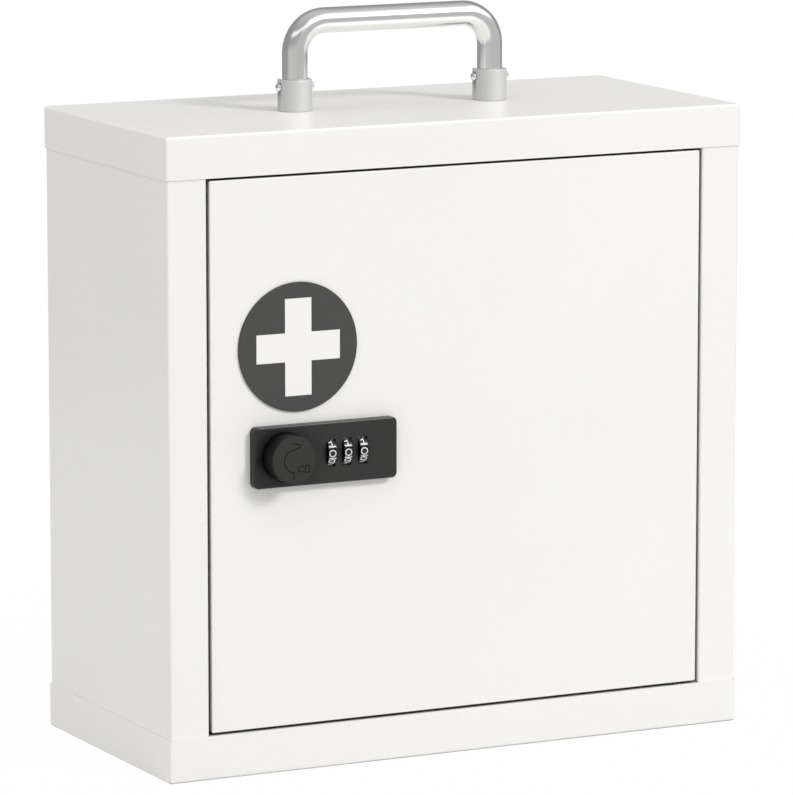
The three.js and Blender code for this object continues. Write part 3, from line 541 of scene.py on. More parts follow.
def slab(corners, front, back, front_edge, back_edge=0.0, bevel=(0, 0)):
    """An upright plate from y = front to y = back with rounded edges, and a flat bevel round its front
    where one is given. Each corner is an arc, given as x, z, radius and the quarter turns at which it
    starts and ends."""
    def ring(inset, y):
        points = []
        for x, z, radius, first, last in corners:
            for k in range(CORNER_STEPS + 1):
                angle = math.pi / 2 * (first + (last - first) * k / CORNER_STEPS)
                reach = radius - inset
                points.append(Vector((x + reach * math.cos(angle), y, z + reach * math.sin(angle))))
        return points
    in_bevel, down_bevel = bevel
    rings = [ring(front_edge + in_bevel, front)] if in_bevel else []
    rings += [ring(inset, front + down_bevel + down) for inset, down in rounding(front_edge)]
    if back_edge:
        rings += [ring(inset, back - down) for inset, down in reversed(rounding(back_edge))]
    else:
        rings.append(ring(0, back))
    return skinned(rings)


def rectangle(x, z, half_width, half_height, radius):
    """The corners of a rounded rectangle, for slab."""
    inner_width = half_width - radius
    inner_height = half_height - radius
    return [
        (x + sx * inner_width, z + sz * inner_height, radius, k, k + 1)
        for k, (sx, sz) in enumerate(CORNER_SIGNS)
    ]


def stroke(points, width, place, low, high, closed=False):
    """A raised line of one width through flat points. place(u, v, h) puts it on its surface, and it
    reaches from height low to height high there."""
    flat = [Vector(point) for point in points]
    count = len(flat)
    rings = []
    for i, point in enumerate(flat):
        before = flat[i - 1] if closed or i else point
        after = flat[(i + 1) % count] if closed or i < count - 1 else point
        into = (point - before).normalized() if before != point else (after - point).normalized()
        out = (after - point).normalized() if after != point else into
        along = (into + out).normalized()
        reach = width / 2 / max(along.dot(into), 1 / MITRE_LIMIT)
        side = Vector((-along.y, along.x)) * reach
        near, far = point + side, point - side
        rings.append([place(near.x, near.y, low), place(far.x, far.y, low),
                      place(far.x, far.y, high), place(near.x, near.y, high)])
    return skinned(rings, closed)


def finely(points, step, closed=False):
    """The points with more between them, so that a long line follows a curved face."""
    corners = points + points[:1] if closed else points
    fine = []
    for (x0, y0), (x1, y1) in zip(corners, corners[1:]):
        count = max(1, math.ceil(math.hypot(x1 - x0, y1 - y0) / step))
        fine += [(x0 + (x1 - x0) * k / count, y0 + (y1 - y0) * k / count) for k in range(count)]
    return fine if closed else fine + points[-1:]


def arc(x, y, radius_x, radius_y, first, last, steps):
    """Points on an ellipse between two angles in degrees."""
    angles = [math.radians(first + (last - first) * k / steps) for k in range(steps + 1)]
    return [(x + radius_x * math.cos(a), y + radius_y * math.sin(a)) for a in angles]


# Pieces

def finished(name, mesh, look, body, replaced=None, sharp=SHARP_DEGREES, even_shading=True):
    """Names a piece, gives it its look and smooth faces, and lets it ride on a body."""
    piece = bpy.data.objects.new(name, mesh)
    bpy.context.scene.collection.objects.link(piece)
    mesh.shade_smooth()
    mesh.set_sharp_from_angle(angle=math.radians(sharp))
    mesh.materials.clear()
    mesh.materials.append(looks[look])
    if even_shading:
        shaded_evenly(piece)
    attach(piece, body)
    if replaced:
        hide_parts(replaced)
    return piece


def shaded_evenly(piece):
    normals = piece.modifiers.new("even_shading", "WEIGHTED_NORMAL")
    normals.keep_sharp = True


# Sheet metal and other CAD nodes that stay: their own look, smooth bends and flat faces kept flat

def marked_sharp(mesh):
    """Marks the edges between faces that meet at a sharp angle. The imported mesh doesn't share vertices
    between faces, so edges are matched by where their ends are."""
    def key(index):
        return tuple(round(c, 7) for c in mesh.vertices[index].co)
    normals = {}
    for polygon in mesh.polygons:
        corners = [key(i) for i in polygon.vertices]
        for a, b in zip(corners, corners[1:] + corners[:1]):
            normals.setdefault(frozenset((a, b)), []).append(polygon.normal.copy())
    limit = math.cos(math.radians(SHARP_DEGREES))
    for edge in mesh.edges:
        pair = normals.get(frozenset(key(i) for i in edge.vertices), [])
        edge.use_edge_sharp = len(pair) != 2 or pair[0].dot(pair[1]) < limit


def dress(node):
    piece = nodes[node]
    mesh = piece.data
    mesh.materials.clear()
    mesh.materials.append(looks[slots[node]])
    if "custom_normal" in mesh.attributes:
        mesh.attributes.remove(mesh.attributes["custom_normal"])
    mesh.shade_smooth()
    marked_sharp(mesh)
    weld = piece.modifiers.new("weld", "WELD")
    weld.merge_threshold = WELD_DISTANCE
    shaded_evenly(piece)


for subpart in slots:
    dress(subpart)


# Handle: the bent rod on its cross pins, and its sleeves

def handle_rod():
    low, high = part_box("handle_bar")
    radius = span("handle_bar").y / 2
    half = (high.x - low.x) / 2 - radius
    top = high.z - radius
    bend_z = top - HANDLE_BEND
    path = []
    for k in range(1, END_STEPS + 1):
        turn = math.pi / 2 * k / END_STEPS
        path.append((-half, pivot_z - radius * math.cos(turn), 0, 1, radius * math.sin(turn)))
    for share in LEG_RINGS:
        path.append((-half, pivot_z + (bend_z - pivot_z) * share, 0, 1, radius))
    for k in range(BEND_STEPS + 1):
        turn = math.pi / 2 * k / BEND_STEPS
        x = -half + HANDLE_BEND * (1 - math.cos(turn))
        z = bend_z + HANDLE_BEND * math.sin(turn)
        path.append((x, z, math.sin(turn), math.cos(turn), radius))
    bar_half = half - HANDLE_BEND
    for share in BAR_RINGS:
        path.append((-bar_half * share, top, 1, 0, radius))
    path += [(-x, z, along_x, -along_z, r) for x, z, along_x, along_z, r in reversed(path)]
    rings = []
    for x, z, along_x, along_z, r in path:
        out = Vector((-along_z, 0, along_x))
        angles = [2 * math.pi * k / SMALL_SIDES for k in range(SMALL_SIDES)]
        rings.append([Vector((x, 0, z)) + (out * math.cos(a) + BACK * math.sin(a)) * r for a in angles])
    bore = CROSS_PIN_RADIUS + CROSS_PIN_GAP
    places = [Vector((side * half, 0, pivot_z)) for side in (-1, 1)]
    holes = [bored(bore, place, RIGHT, radius + OVERRUN, HOLE_SIDES) for place in places]
    return combined(skinned(rings), holes)


def ferrule(node):
    low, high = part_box(node)
    radius = (high.x - low.x) / 2
    height = high.z - low.z
    foot = Vector((centre(node).x, 0, low.z))
    side = [(radius - FERRULE_EDGE / 2, 0), (radius, FERRULE_EDGE / 2)]
    body = turned(side + rounded_rim(radius, height, FERRULE_EDGE), SHOWN_SIDES, UP, foot)
    bore = span("handle_bar").y / 2 + LEG_GAP
    bore_end = Vector((foot.x, 0, pivot_z - bore))
    above = high.z + OVERRUN
    reach = radius + OVERRUN
    return combined(body, [
        rod(bore, bore_end, UP, above - bore_end.z, SHOWN_SIDES),
        block((foot.x - bore, 0, bore_end.z), (foot.x + bore, reach, above)),
        bored(CROSS_PIN_RADIUS + CROSS_PIN_GAP, Vector((foot.x, 0, pivot_z)), RIGHT, reach),
        bored(WASHERS["ferrule_washer_left"][2], foot, UP, bore_end.z - low.z + OVERRUN),
    ])


def cross_pin(node):
    half = span(node).x / 2
    head_radius = span(node).y / 2
    seat = half - CROSS_PIN_HEAD
    right = [(CROSS_PIN_RADIUS, seat), *dome(head_radius, seat, CROSS_PIN_HEAD, PIN_DOME_STEPS)]
    left = [(radius, -along) for radius, along in reversed(right)]
    return turned(left + right, SMALL_SIDES, RIGHT, centre(node))


finished(
    "handle_rod", handle_rod(), "chrome", "handle", "handle_bar", ROD_SHARP_DEGREES, even_shading=False)
for side in ("left", "right"):
    finished(f"sleeve_{side}", ferrule(f"ferrule_{side}"), "sleeve", "case", f"ferrule_{side}")
    finished(f"cross_pin_{side}", cross_pin(f"pivot_pin_{side}"), "chrome", "case", f"pivot_pin_{side}")


# Screws, washers, bushes and pads

def screw(node, toward_head, shank, head_height, recessed):
    """A screw or pin with a low domed head, in the place of its CAD node."""
    size = span(node)
    length = abs(size.dot(toward_head))
    head = size.x / 2
    edge = shank / 8
    seat = length - head_height
    rise = head_height / 2
    profile = [(shank - edge, 0), (shank, edge), (shank, seat), (head - edge, seat), (head, seat + edge)]
    profile += dome(head, seat + rise, rise, SCREW_DOME_STEPS)
    middle = centre(node)
    body = turned(profile, SMALL_SIDES, toward_head, middle - toward_head * length / 2)
    if not recessed:
        return body
    crown = middle + toward_head * length / 2
    across = BACK if toward_head.y == 0 else UP
    wide, narrow, deep = head * RECESS_LENGTH, head * RECESS_WIDTH, head_height * RECESS_DEPTH
    arms = []
    for first, second in ((wide, narrow), (narrow, wide)):
        reach = RIGHT * first + across * second + Vector([abs(c) for c in toward_head]) * deep
        arms.append(block(crown - reach, crown + reach))
    return combined(body, arms)


def washer(node, axis, hole):
    size = span(node)
    outer = size.x / 2
    thickness = abs(size.dot(axis))
    edge = thickness / 6
    side = [(outer - edge, 0), (outer, edge), (outer, thickness - edge), (outer - edge, thickness)]
    inside = [(hole + edge, thickness), (hole, thickness - edge), (hole, edge), (hole + edge, 0)]
    return turned(side + inside, SMALL_SIDES, axis, centre(node) - axis * thickness / 2, closed=True)


def hinge_bush(node, toward_flange):
    flange = span(node).x / 2
    length = span(node).z
    step = length - BUSH_FLANGE
    profile = [(BUSH_BORE, 0), (BUSH_TUBE - BUSH_EDGE, 0), (BUSH_TUBE, BUSH_EDGE), (BUSH_TUBE, step),
               (flange, step), (flange, length - BUSH_EDGE), (flange - BUSH_EDGE, length),
               (BUSH_BORE, length)]
    start = centre(node) - toward_flange * length / 2
    return turned(profile, SMALL_SIDES, toward_flange, start, closed=True)


def bumper_pad(node):
    radius = span(node).x / 2
    thickness = span(node).y
    rim = rounded_rim(radius, thickness, PAD_EDGE_SHARE * thickness)
    seat = centre(node) + BACK * thickness / 2
    return turned([(radius, 0), *rim], SMALL_SIDES, -BACK, seat)


for node, (body, toward_head, shank, head_height, recessed) in SCREWS.items():
    finished(f"{node}_detail", screw(node, toward_head, shank, head_height, recessed), "zinc", body, node)
for node, (body, axis, hole) in WASHERS.items():
    finished(f"{node}_detail", washer(node, axis, hole), "zinc", body, node)
for end, toward_flange in (("top", UP), ("bottom", -UP)):
    bush = hinge_bush(f"hinge_bush_{end}", toward_flange)
    finished(f"hinge_bush_{end}_detail", bush, "nylon", "door", f"hinge_bush_{end}")
    pad = bumper_pad(f"bumper_pad_{end}")
    finished(f"bumper_pad_{end}_detail", pad, "rubber", "case", f"bumper_pad_{end}")


# Emblem: a dark disc with a plus-shaped opening, and the white plus that fills it almost flush

def plus_arms(middle, thickness, slip=0.0):
    arms = []
    for width, height in ((CROSS_WIDTH, CROSS_ARM), (CROSS_ARM, CROSS_HEIGHT)):
        reach = Vector((width / 2 - slip, thickness / 2, height / 2 - slip))
        arms.append(block(middle - reach, middle + reach))
    return arms


def emblem():
    low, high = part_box("cross_emblem")
    middle = centre("cross_emblem")
    radius = (high.x - low.x) / 2
    thickness = high.y - low.y
    rim = rounded_rim(radius, thickness, EMBLEM_EDGE)
    disc = turned([(radius, 0), *rim], 2 * SHOWN_SIDES, -BACK, Vector((middle.x, high.y, middle.z)))
    return combined(disc, plus_arms(middle, 2 * thickness))


def white_plus():
    across, upright = plus_arms(centre("cross_inlay"), span("cross_inlay").y, PLUS_SLIP)
    return combined(across, [upright], "UNION")


finished("emblem_disc", emblem(), "dark_disc", "door", "cross_emblem")
finished("emblem_plus", white_plus(), "white_paint", "door", "cross_inlay")


# Lock: the plate with its barrel and dial case, and what is fixed to it from inside

cover_low, cover_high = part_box("lock_rear_cover")
dial_room_x = dial_middle_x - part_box("dial_1")[0].x + DIAL_ROOM_BESIDE
dial_room_z = dial_radius + DIAL_ROOM_ABOVE
cover_screw_x = dial_room_x + DIAL_CASE_END / 2


def threaded_barrel():
    """A barrel with one thread that winds along it and fades out at both ends."""
    start = plate_front + PLATE_THICKNESS - PLATE_WEB
    end = plate_high.y
    steps = round((end - start) / BARREL_PITCH * RINGS_IN_PITCH)
    rings = []
    for i in range(steps + 1):
        along = (end - start) * i / steps
        fade_in = max(0, (along - BARREL_PLAIN) / BARREL_PITCH)
        fade_out = (end - start - along) / BARREL_PITCH
        fade = min(1, fade_in, fade_out)
        ring = []
        for k in range(BARREL_SIDES):
            angle = 2 * math.pi * k / BARREL_SIDES
            phase = (along / BARREL_PITCH - k / BARREL_SIDES) % 1
            ridge = 1 - abs(2 * phase - 1)
            radius = BARREL_ROOT + (BARREL_CREST - BARREL_ROOT) * ridge * fade
            x, z = radius * math.cos(angle), radius * math.sin(angle)
            ring.append(Vector((knob_x + x, start + along, lock_z + z)))
        rings.append(ring)
    return skinned(rings)


def lock_housing():
    plate_back = plate_front + PLATE_THICKNESS
    half_width = (plate_high.x - plate_low.x) / 2
    half_height = (plate_high.z - plate_low.z) / 2
    corners = rectangle(lock_x, lock_z, half_width, half_height, PLATE_CORNER)
    bevel = (PLATE_BEVEL_WIDTH, PLATE_BEVEL_DEPTH)
    plate = slab(corners, plate_front, plate_back, PLATE_EDGE, bevel=bevel)
    case = block(
        (cover_low.x, plate_back - PLATE_WEB, cover_low.z),
        (cover_high.x, cover_low.y, cover_high.z),
    )
    body = combined(plate, [case], "UNION")
    knob_axis = Vector((knob_x, plate_front, lock_z))
    knob_radius = span("lock_knob").x / 2
    seat = bored(knob_radius + KNOB_SEAT_GAP, knob_axis, BACK, KNOB_SEAT_DEPTH, SHOWN_SIDES)
    room = block(
        (dial_middle_x - dial_room_x, plate_front + PLATE_WEB, lock_z - dial_room_z),
        (dial_middle_x + dial_room_x, cover_low.y + OVERRUN, lock_z + dial_room_z),
    )
    windows = []
    for node in dial_nodes:
        reach = Vector((WINDOW_WIDTH / 2, PLATE_WEB + OVERRUN, WINDOW_HEIGHT / 2))
        middle = Vector((centre(node).x, plate_front, lock_z))
        windows.append(block(middle - reach, middle + reach))
    axle_start = Vector((dial_middle_x - dial_room_x - AXLE_SEAT, dial_y, lock_z))
    axle_hole = rod(AXLE_RADIUS + AXLE_GAP, axle_start, RIGHT, cover_high.x + OVERRUN - axle_start.x)
    cover_holes = []
    for side in (-1, 1):
        mouth = Vector((dial_middle_x + side * cover_screw_x, cover_low.y, lock_z))
        cover_holes.append(bored(COVER_HOLE, mouth, BACK, COVER_SCREW_DEPTH, HOLE_SIDES))
    screw_mouth = Vector((lock_x + LOCK_SCREW_OFFSET, plate_back, lock_z))
    screw_hole = bored(LOCK_SCREW_HOLE, screw_mouth, BACK, LOCK_SCREW_DEPTH, HOLE_SIDES)
    bore = bored(SPINDLE_RADIUS + SPINDLE_SLIP, knob_axis, BACK, plate_high.y - plate_front + OVERRUN)
    body = combined(body, [seat, room, *windows, axle_hole, *cover_holes, screw_hole, bore])
    barrel = combined(threaded_barrel(), [bore])
    return combined(body, [barrel], "UNION")


def rear_cover():
    half_width = (cover_high.x - cover_low.x) / 2
    half_height = (cover_high.z - cover_low.z) / 2
    corners = rectangle(dial_middle_x, lock_z, half_width, half_height, COVER_CORNER)
    flat = slab(corners, cover_low.y, cover_high.y, COVER_FRONT_EDGE, COVER_BACK_EDGE)
    places = [(dial_middle_x + side * cover_screw_x, lock_z, COVER_HOLE) for side in (-1, 1)]
    places.append((dial_middle_x, lock_z - dial_room_z + 2 * RESET_HOLE, RESET_HOLE))
    return combined(flat, [
        bored(radius, Vector((x, cover_low.y, z)), BACK, OVERRUN, HOLE_SIDES) for x, z, radius in places
    ])


def barrel_nut():
    low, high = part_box("lock_nut")
    corner = NUT_FLATS / math.sqrt(3)
    thickness = high.y - low.y
    start = Vector((knob_x, low.y, lock_z))
    hexagon = rod(corner, start, BACK, thickness, 6)
    flat = NUT_FLATS / 2 * NUT_CHAMFER_START
    slope = (corner - flat) * NUT_CHAMFER_SLOPE
    profile = [(flat, 0), (corner, slope), (corner, thickness - slope), (flat, thickness)]
    chamfered = combined(hexagon, [turned(profile, SHOWN_SIDES, BACK, start)], "INTERSECT")
    bore = bored(BARREL_CREST + THREAD_GAP, start, BACK, thickness + OVERRUN, BARREL_SIDES)
    return combined(chamfered, [bore])


def wheel_axle():
    radius = span("dial_axle").y / 2
    length = span("dial_axle").x
    profile = [(radius - AXLE_EDGE, 0), (radius, AXLE_EDGE),
               (radius, length - AXLE_EDGE), (radius - AXLE_EDGE, length)]
    return turned(profile, SMALL_SIDES, RIGHT, centre("dial_axle") - RIGHT * length / 2)


finished("lock_plate", lock_housing(), "lock_black", "door", "lock_housing")
finished("dial_cover", rear_cover(), "lock_black", "door", "lock_rear_cover")
finished("barrel_nut", barrel_nut(), "zinc", "door", "lock_nut")
finished("wheel_axle", wheel_axle(), "zinc", "door", "dial_axle")


# Number wheels: ten faces with a groove between each two, and a white digit on each face. Digits are
# drawn in a box one wide and one high, about its middle.

HALF = 0.42


def rounded_square(half, corner):
    """A closed line round a square with rounded corners."""
    inner = half - corner
    points = []
    for k, (sx, sy) in enumerate(CORNER_SIGNS):
        points += arc(sx * inner, sy * inner, corner, corner, 90 * k, 90 * k + 90, 5)
    return points


DIGIT_LINES = {
    0: [(rounded_square(0.44, 0.4), True)],
    1: [([(-0.38, 0.3), (-0.1, 0.38), (0.06, 0.56)], False), ([(0.06, 0.62), (0.06, -0.3)], False),
        ([(-0.5, -0.3), (0.5, -0.3)], False)],
    2: [(arc(0, 0.17, HALF, 0.25, 165, -35, 12) + [(-0.34, -0.36)], False),
        ([(-0.46, -HALF), (0.46, -HALF)], False)],
    3: [(arc(-0.02, 0.2, 0.38, 0.22, 150, -80, 12), False),
        (arc(-0.02, -0.19, HALF, 0.23, 80, -150, 12), False)],
    4: [([(0.2, -0.5), (0.2, 0.46), (-0.42, -0.16)], False), ([(-0.46, -0.18), (0.48, -0.18)], False)],
    5: [([(0.4, HALF), (-0.3, HALF), (-0.34, 0.02)], False),
        (arc(0, -0.14, HALF, 0.28, 150, -150, 14), False)],
    6: [(arc(0, -0.16, HALF, 0.26, 0, 345, 20), True), (arc(0.12, -0.1, 0.54, 0.54, 175, 100, 8), False)],
    7: [([(-HALF, HALF), (0.38, HALF), (-0.12, -0.48)], False)],
    8: [(arc(0, 0.22, 0.36, 0.2, 0, 345, 20), True), (arc(0, -0.2, HALF, 0.23, 0, 345, 20), True)],
    9: [(arc(0, 0.14, HALF, 0.28, 0, 345, 20), True),
        (arc(-0.1, -0.04, 0.54, 0.48, 0, -122, 12), False)],
}


def round_wheel(middle, x, reach, angle):
    """A point at an angle up from the front of a wheel, and so far out from its axle."""
    return Vector((x, middle.y - reach * math.cos(angle), middle.z + reach * math.sin(angle)))


def number_wheel(node):
    half_width = span(node).x / 2
    middle = centre(node)
    step = 2 * math.pi / DIGITS
    half_face = WHEEL_FACE_SHARE * step

    def section(x, inset):
        points = []
        for digit in range(DIGITS):
            turns = [half_face * (k / HALF_FACE_STEPS - 1) for k in range(2 * HALF_FACE_STEPS + 1)]
            outline = [(dial_radius, digit * step + turn) for turn in turns]
            outline.append((dial_radius - WHEEL_GROOVE, (digit + 0.5) * step))
            for radius, angle in outline:
                points.append(round_wheel(middle, x, radius - inset, angle))
        return points
    inner = half_width - WHEEL_EDGE
    steps = [(-half_width, WHEEL_EDGE), (-inner, 0), (inner, 0), (half_width, WHEEL_EDGE)]
    wheel = skinned([section(middle.x + x, inset) for x, inset in steps])
    return combined(wheel, [bored(AXLE_RADIUS + AXLE_GAP, middle, RIGHT, half_width + OVERRUN)])


def wheel_digits(node):
    middle = centre(node)
    step = 2 * math.pi / DIGITS
    strokes = []
    for digit, lines in DIGIT_LINES.items():
        def on_wheel(u, v, h, digit=digit):
            return round_wheel(
                middle, middle.x + DIGIT_ASIDE + u, dial_radius + h, digit * step + v / dial_radius)
        for k, (points, closed) in enumerate(lines):
            scaled = finely([(x * DIGIT_WIDTH, y * DIGIT_HEIGHT) for x, y in points], DIGIT_STEP, closed)
            relief = DIGIT_RELIEF * (1 + k * STROKE_LIFT)
            strokes.append(stroke(scaled, DIGIT_STROKE, on_wheel, -DIGIT_RELIEF, relief, closed))
    return joined(strokes)


for node, place in zip(dial_nodes, ("left", "middle", "right")):
    wheel = number_wheel(node)
    finished(f"wheel_{place}", wheel, "dial_black", f"dial_{place}", node, WHEEL_SHARP_DEGREES)
    finished(f"digits_{place}", wheel_digits(node), "digit_white", f"dial_{place}")


# Knob: turned, with its marks cut in and filled with dark paint, and the cam on its square end.
# The marks are in millimetres from the knob's middle: an arrow, an index line and a padlock on its side.

turn_arrow = arc(0.3, -0.4, 5.3, 5.4, -98, -215, 14) + [(-3.1, 3.7), (-1.6, 4.4), (1.0, 5.2), (3.7, 6.2)]
shackle = [(4.9, -3.1)] + arc(3.4, -4.4, 1.4, 1.3, 90, 270, 8) + [(4.9, -5.7)]
KNOB_MARKS = [
    (turn_arrow, False),
    ([(-0.7, 7.7), (3.3, 6.75)], False),
    ([(-0.2, -5.9), (-0.2, -9.2)], False),
    ([(5.6, -2.9), (5.6, -6.1), (7.7, -6.1), (7.7, -2.9)], True),
    (shackle, False),
]


def turning_knob():
    low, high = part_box("lock_knob")
    radius = (high.x - low.x) / 2
    cam_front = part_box("lock_cam")[0].y
    cam_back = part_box("lock_cam")[1].y
    total = cam_front - low.y
    shoulder = cam_front - (plate_front + KNOB_SEAT_DEPTH - KNOB_FLOAT)
    rim = [(radius, total - KNOB_EDGE), (radius - KNOB_EDGE, total)]
    profile = [(SPINDLE_RADIUS, 0), (SPINDLE_RADIUS, shoulder), (radius, shoulder), *rim]
    body = turned(profile, SHOWN_SIDES, -BACK, Vector((knob_x, cam_front, lock_z)))
    half = CAM_SQUARE / 2
    square = block(
        (knob_x - half, cam_front - half, lock_z - half), (knob_x + half, high.y, lock_z + half))
    body = combined(body, [square], "UNION")
    hole_radius = WASHERS["cam_washer"][2]
    hole_end = Vector((knob_x, cam_back - CAM_SCREW_DEPTH, lock_z))
    hole = rod(hole_radius, hole_end, BACK, CAM_SCREW_DEPTH + OVERRUN)
    cuts = [
        stroke(line, MARK_WIDTH, on_knob, -MARK_DEPTH, MARK_DEPTH, closed) for line, closed in knob_lines()
    ]
    return combined(body, [hole, *cuts])


def on_knob(u, v, h):
    return Vector((knob_x + u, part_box("lock_knob")[0].y - h, lock_z + v))


def knob_lines():
    return [([(x * MM, y * MM) for x, y in line], closed) for line, closed in KNOB_MARKS]


def mark_fill():
    width = MARK_WIDTH - MARK_SLIP
    top = -MARK_DEPTH / 2
    lines = knob_lines()
    return joined([stroke(line, width, on_knob, -MARK_DEPTH, top, closed) for line, closed in lines])


def turning_cam():
    low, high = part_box("lock_cam")
    half = (high.x - low.x) / 2
    corner = half / 2
    foot = low.z + corner
    corners = [
        (knob_x, lock_z, half, 0, 1), (knob_x, lock_z, half, 1, 2),
        (knob_x - half + corner, foot, corner, 2, 3), (knob_x + half - corner, foot, corner, 3, 4),
    ]
    arm = slab(corners, low.y, high.y, CAM_EDGE, CAM_EDGE)
    hole = CAM_SQUARE / 2 + CAM_SQUARE_GAP
    reach = Vector((hole, span("lock_cam").y, hole))
    middle = Vector((knob_x, centre("lock_cam").y, lock_z))
    return combined(arm, [block(middle - reach, middle + reach)])


finished("turning_knob", turning_knob(), "knob_black", "knob", "lock_knob")
finished("knob_marks", mark_fill(), "mark_black", "knob")
finished("turning_cam", turning_cam(), "zinc", "knob", "lock_cam")


# Room: a pale floor, soft light and the photograph's camera

# Light level by height of the direction, from -1 straight down to 1 straight up: what lights the
# object, and what bright metal sees in front of it, to its left and behind it
LIGHT_BY_HEIGHT = [(-1, 0.54), (0, 0.56), (0.35, 0.58), (0.7, 0.78), (1, 1.18)]
FRONT_BY_HEIGHT = [(-0.4, 0.88), (-0.3, 0.56), (-0.2, 0.58), (-0.12, 0.52), (0, 0.56), (0.2, 0.54),
                   (0.3, 0.66), (0.4, 1.35), (0.77, 1.35), (0.84, 0.7), (1, 0.56)]
LEFT_BY_HEIGHT = [(-0.4, 0.88), (-0.3, 0.58), (-0.12, 0.58), (0, 0.58), (0.25, 0.42), (0.45, 0.38),
                  (0.52, 1.2), (0.6, 1.2), (0.67, 0.4), (1, 0.5)]
BACK_BY_HEIGHT = [(-0.4, 0.42), (0, 0.31), (0.35, 0.31), (0.65, 0.34), (0.8, 0.4), (0.9, 0.56), (1, 0.6)]
# How much more of the light on the object comes from the left than from straight ahead, as a share
LEFT_SHARE = 0.5
# Where what metal sees goes over from left to front, by the direction's X, and to the back, by its Y
LEFT_TO_FRONT = (-0.3, 0.05)
FRONT_TO_BACK = (-0.25, 0.25)
KEY_AZIMUTH = 31
KEY_ELEVATION = 34.5
KEY_DISTANCE = 3.5
KEY_SIZE = 0.75
KEY_STRENGTH = 0.45
FLOOR_RADIUS = 1.1
FLOOR_SIDES = 96
FLOOR_INNER = 0.2
# How far below the base the floor lies, so that the two don't flicker
FLOOR_DROP = 0.05 * MM
FLOOR_TONES = (0.61, 0.63)
# How much of what the camera sees of the floor is its own white, near the object and far from it
FLOOR_GLOW = (0.965, 1.0)
FLOOR_FADE = (0.2, 0.8 * FLOOR_RADIUS)
CAMERA_PLACE = (-1.2162, -2.4257, 0.6139)
CAMERA_DOWN = 9.512
CAMERA_AZIMUTH = -26.664
CAMERA_LENS = 260.44
SENSOR_WIDTH = 36


def room_world():
    """Soft light from all round. The camera sees plain white, and bright metal sees a studio with a
    wide soft light high in front and grey walls."""
    world = bpy.data.worlds.new("studio")
    bpy.context.scene.world = world
    world.use_nodes = True
    tree = world.node_tree
    tree.nodes.clear()
    link = tree.links.new
    direction = tree.nodes.new("ShaderNodeTexCoord").outputs["Generated"]
    parts = tree.nodes.new("ShaderNodeSeparateXYZ")
    link(direction, parts.inputs[0])

    def background(colour=None, strength=None):
        """Light from far away: white, or of a colour and a strength that nodes give."""
        node = tree.nodes.new("ShaderNodeBackground")
        node.inputs["Color"].default_value = grey(1)
        if colour is not None:
            link(colour, node.inputs["Color"])
        if strength is not None:
            link(strength, node.inputs["Strength"])
        return node.outputs["Background"]

    def graded(levels):
        """A grey that goes by the height of the direction."""
        rise = ranged(tree, parts.outputs["Z"], 0, 1, -1, 1)
        return ramped(tree, rise, [((height + 1) / 2, grey(level)) for height, level in levels])

    def zone(part, ends):
        """How far a direction is from one zone of the room to the next."""
        return ranged(tree, parts.outputs[part], 0, 1, *ends, smooth=True)

    zones = (FRONT_BY_HEIGHT, LEFT_BY_HEIGHT, BACK_BY_HEIGHT)
    front, left, back = (background(graded(levels)) for levels in zones)
    around = mixed(tree, zone("X", LEFT_TO_FRONT), left, front)
    seen = mixed(tree, zone("Y", FRONT_TO_BACK), around, back)
    lean = ranged(tree, parts.outputs["X"], 1 + LEFT_SHARE, 1 - LEFT_SHARE, -1, 1)
    light = background(graded(LIGHT_BY_HEIGHT), lean)
    white = background()
    path = tree.nodes.new("ShaderNodeLightPath").outputs
    shiny = mixed(tree, path["Is Glossy Ray"], light, seen)
    clear = mixed(tree, path["Is Transmission Ray"], shiny, white)
    whole = mixed(tree, path["Is Camera Ray"], clear, white)
    out = tree.nodes.new("ShaderNodeOutputWorld")
    link(whole, out.inputs["Surface"])


def lamp(name, place, size, strength):
    """A square soft lamp that looks at the middle of the object. Strength is the light that it gives
    a white surface facing it there, where 1 makes the surface look white."""
    data = bpy.data.lights.new(name, "AREA")
    data.shape = "SQUARE"
    data.size = size
    away = place - Vector((0, 0, box_top / 2))
    data.energy = strength * math.pi * math.pi * away.length_squared
    light = bpy.data.objects.new(name, data)
    light.location = place
    light.rotation_mode = "QUATERNION"
    light.rotation_quaternion = away.to_track_quat("Z", "Y")
    bpy.context.scene.collection.objects.link(light)


def aimed(azimuth, elevation, distance):
    """A place at an angle to the right of the front and above the horizon, in degrees."""
    a, e = math.radians(azimuth), math.radians(elevation)
    way = Vector((math.sin(a) * math.cos(e), -math.cos(a) * math.cos(e), math.sin(e)))
    return Vector((0, 0, box_top / 2)) + way * distance


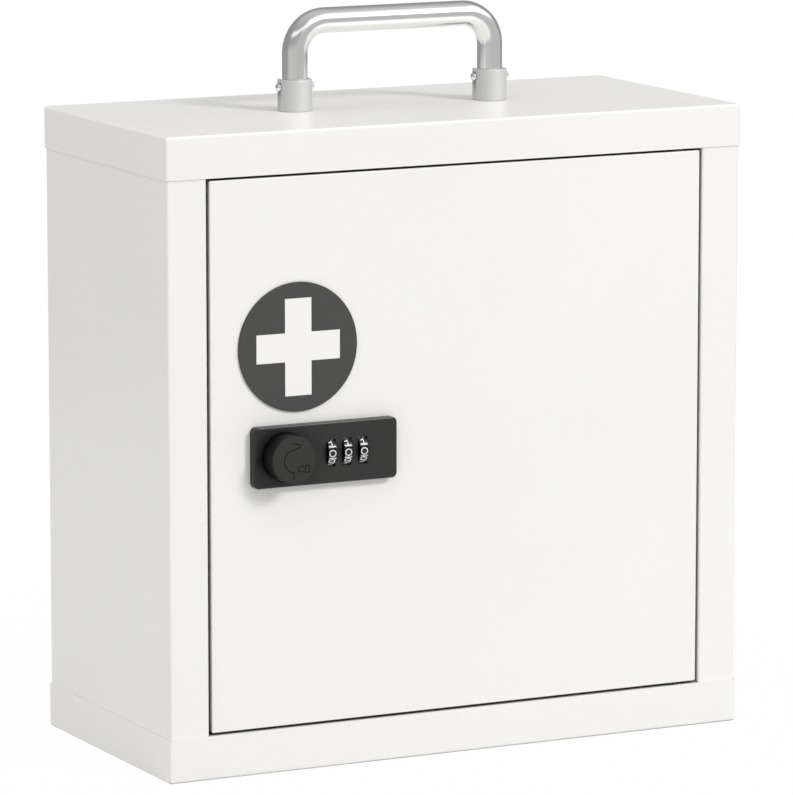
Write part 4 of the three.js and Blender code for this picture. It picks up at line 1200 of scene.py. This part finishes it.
def floor():
    """A pale floor that keeps the object's shadow and fades to the white of the room."""
    angles = [2 * math.pi * k / FLOOR_SIDES for k in range(FLOOR_SIDES)]
    radii = (FLOOR_INNER, FLOOR_RADIUS)
    vertices = [(r * math.cos(a), r * math.sin(a), 0) for r in radii for a in angles]
    faces = [tuple(range(FLOOR_SIDES))]
    for k in range(FLOOR_SIDES):
        following = (k + 1) % FLOOR_SIDES
        faces.append((k, FLOOR_SIDES + k, FLOOR_SIDES + following, following))
    mesh = bpy.data.meshes.new("floor")
    mesh.from_pydata(vertices, [], faces)
    piece = bpy.data.objects.new("floor", mesh)
    piece.location.z = -FLOOR_DROP
    bpy.context.scene.collection.objects.link(piece)
    look = Look("floor_white", 0.9, specular=0.0)
    darker, lighter = FLOOR_TONES
    look.colour(look.noise(4, 2), [(0.3, grey(darker)), (0.7, grey(lighter))])
    tree = look.tree
    glow = tree.nodes.new("ShaderNodeEmission")
    glow.inputs["Color"].default_value = grey(1)
    path = tree.nodes.new("ShaderNodeLightPath").outputs
    seen = path["Is Camera Ray"]
    for kind in ("Is Glossy Ray", "Is Transmission Ray"):
        seen = worked_out(tree, "MAXIMUM", seen, path[kind])
    apart = tree.nodes.new("ShaderNodeVectorMath")
    apart.operation = "LENGTH"
    look.link(look.place, apart.inputs[0])
    fade = ranged(tree, apart.outputs["Value"], *FLOOR_GLOW, *FLOOR_FADE)
    share = worked_out(tree, "MULTIPLY", seen, fade)
    surface = mixed(tree, share, look.shader.outputs["BSDF"], glow.outputs["Emission"])
    look.link(surface, tree.nodes["Material Output"].inputs["Surface"])
    mesh.materials.append(look.material)


def camera():
    data = bpy.data.cameras.new("camera")
    data.lens = CAMERA_LENS
    data.sensor_width = SENSOR_WIDTH
    eye = bpy.data.objects.new("camera", data)
    eye.location = CAMERA_PLACE
    eye.rotation_euler = (math.radians(90 - CAMERA_DOWN), 0, math.radians(CAMERA_AZIMUTH))
    bpy.context.scene.collection.objects.link(eye)
    bpy.context.scene.camera = eye


room_world()
lamp("key", aimed(KEY_AZIMUTH, KEY_ELEVATION, KEY_DISTANCE), KEY_SIZE, KEY_STRENGTH)
floor()
camera()
bpy.context.scene.view_settings.view_transform = "Standard"


# Bring every place in the scene up to date

bpy.context.view_layer.update()
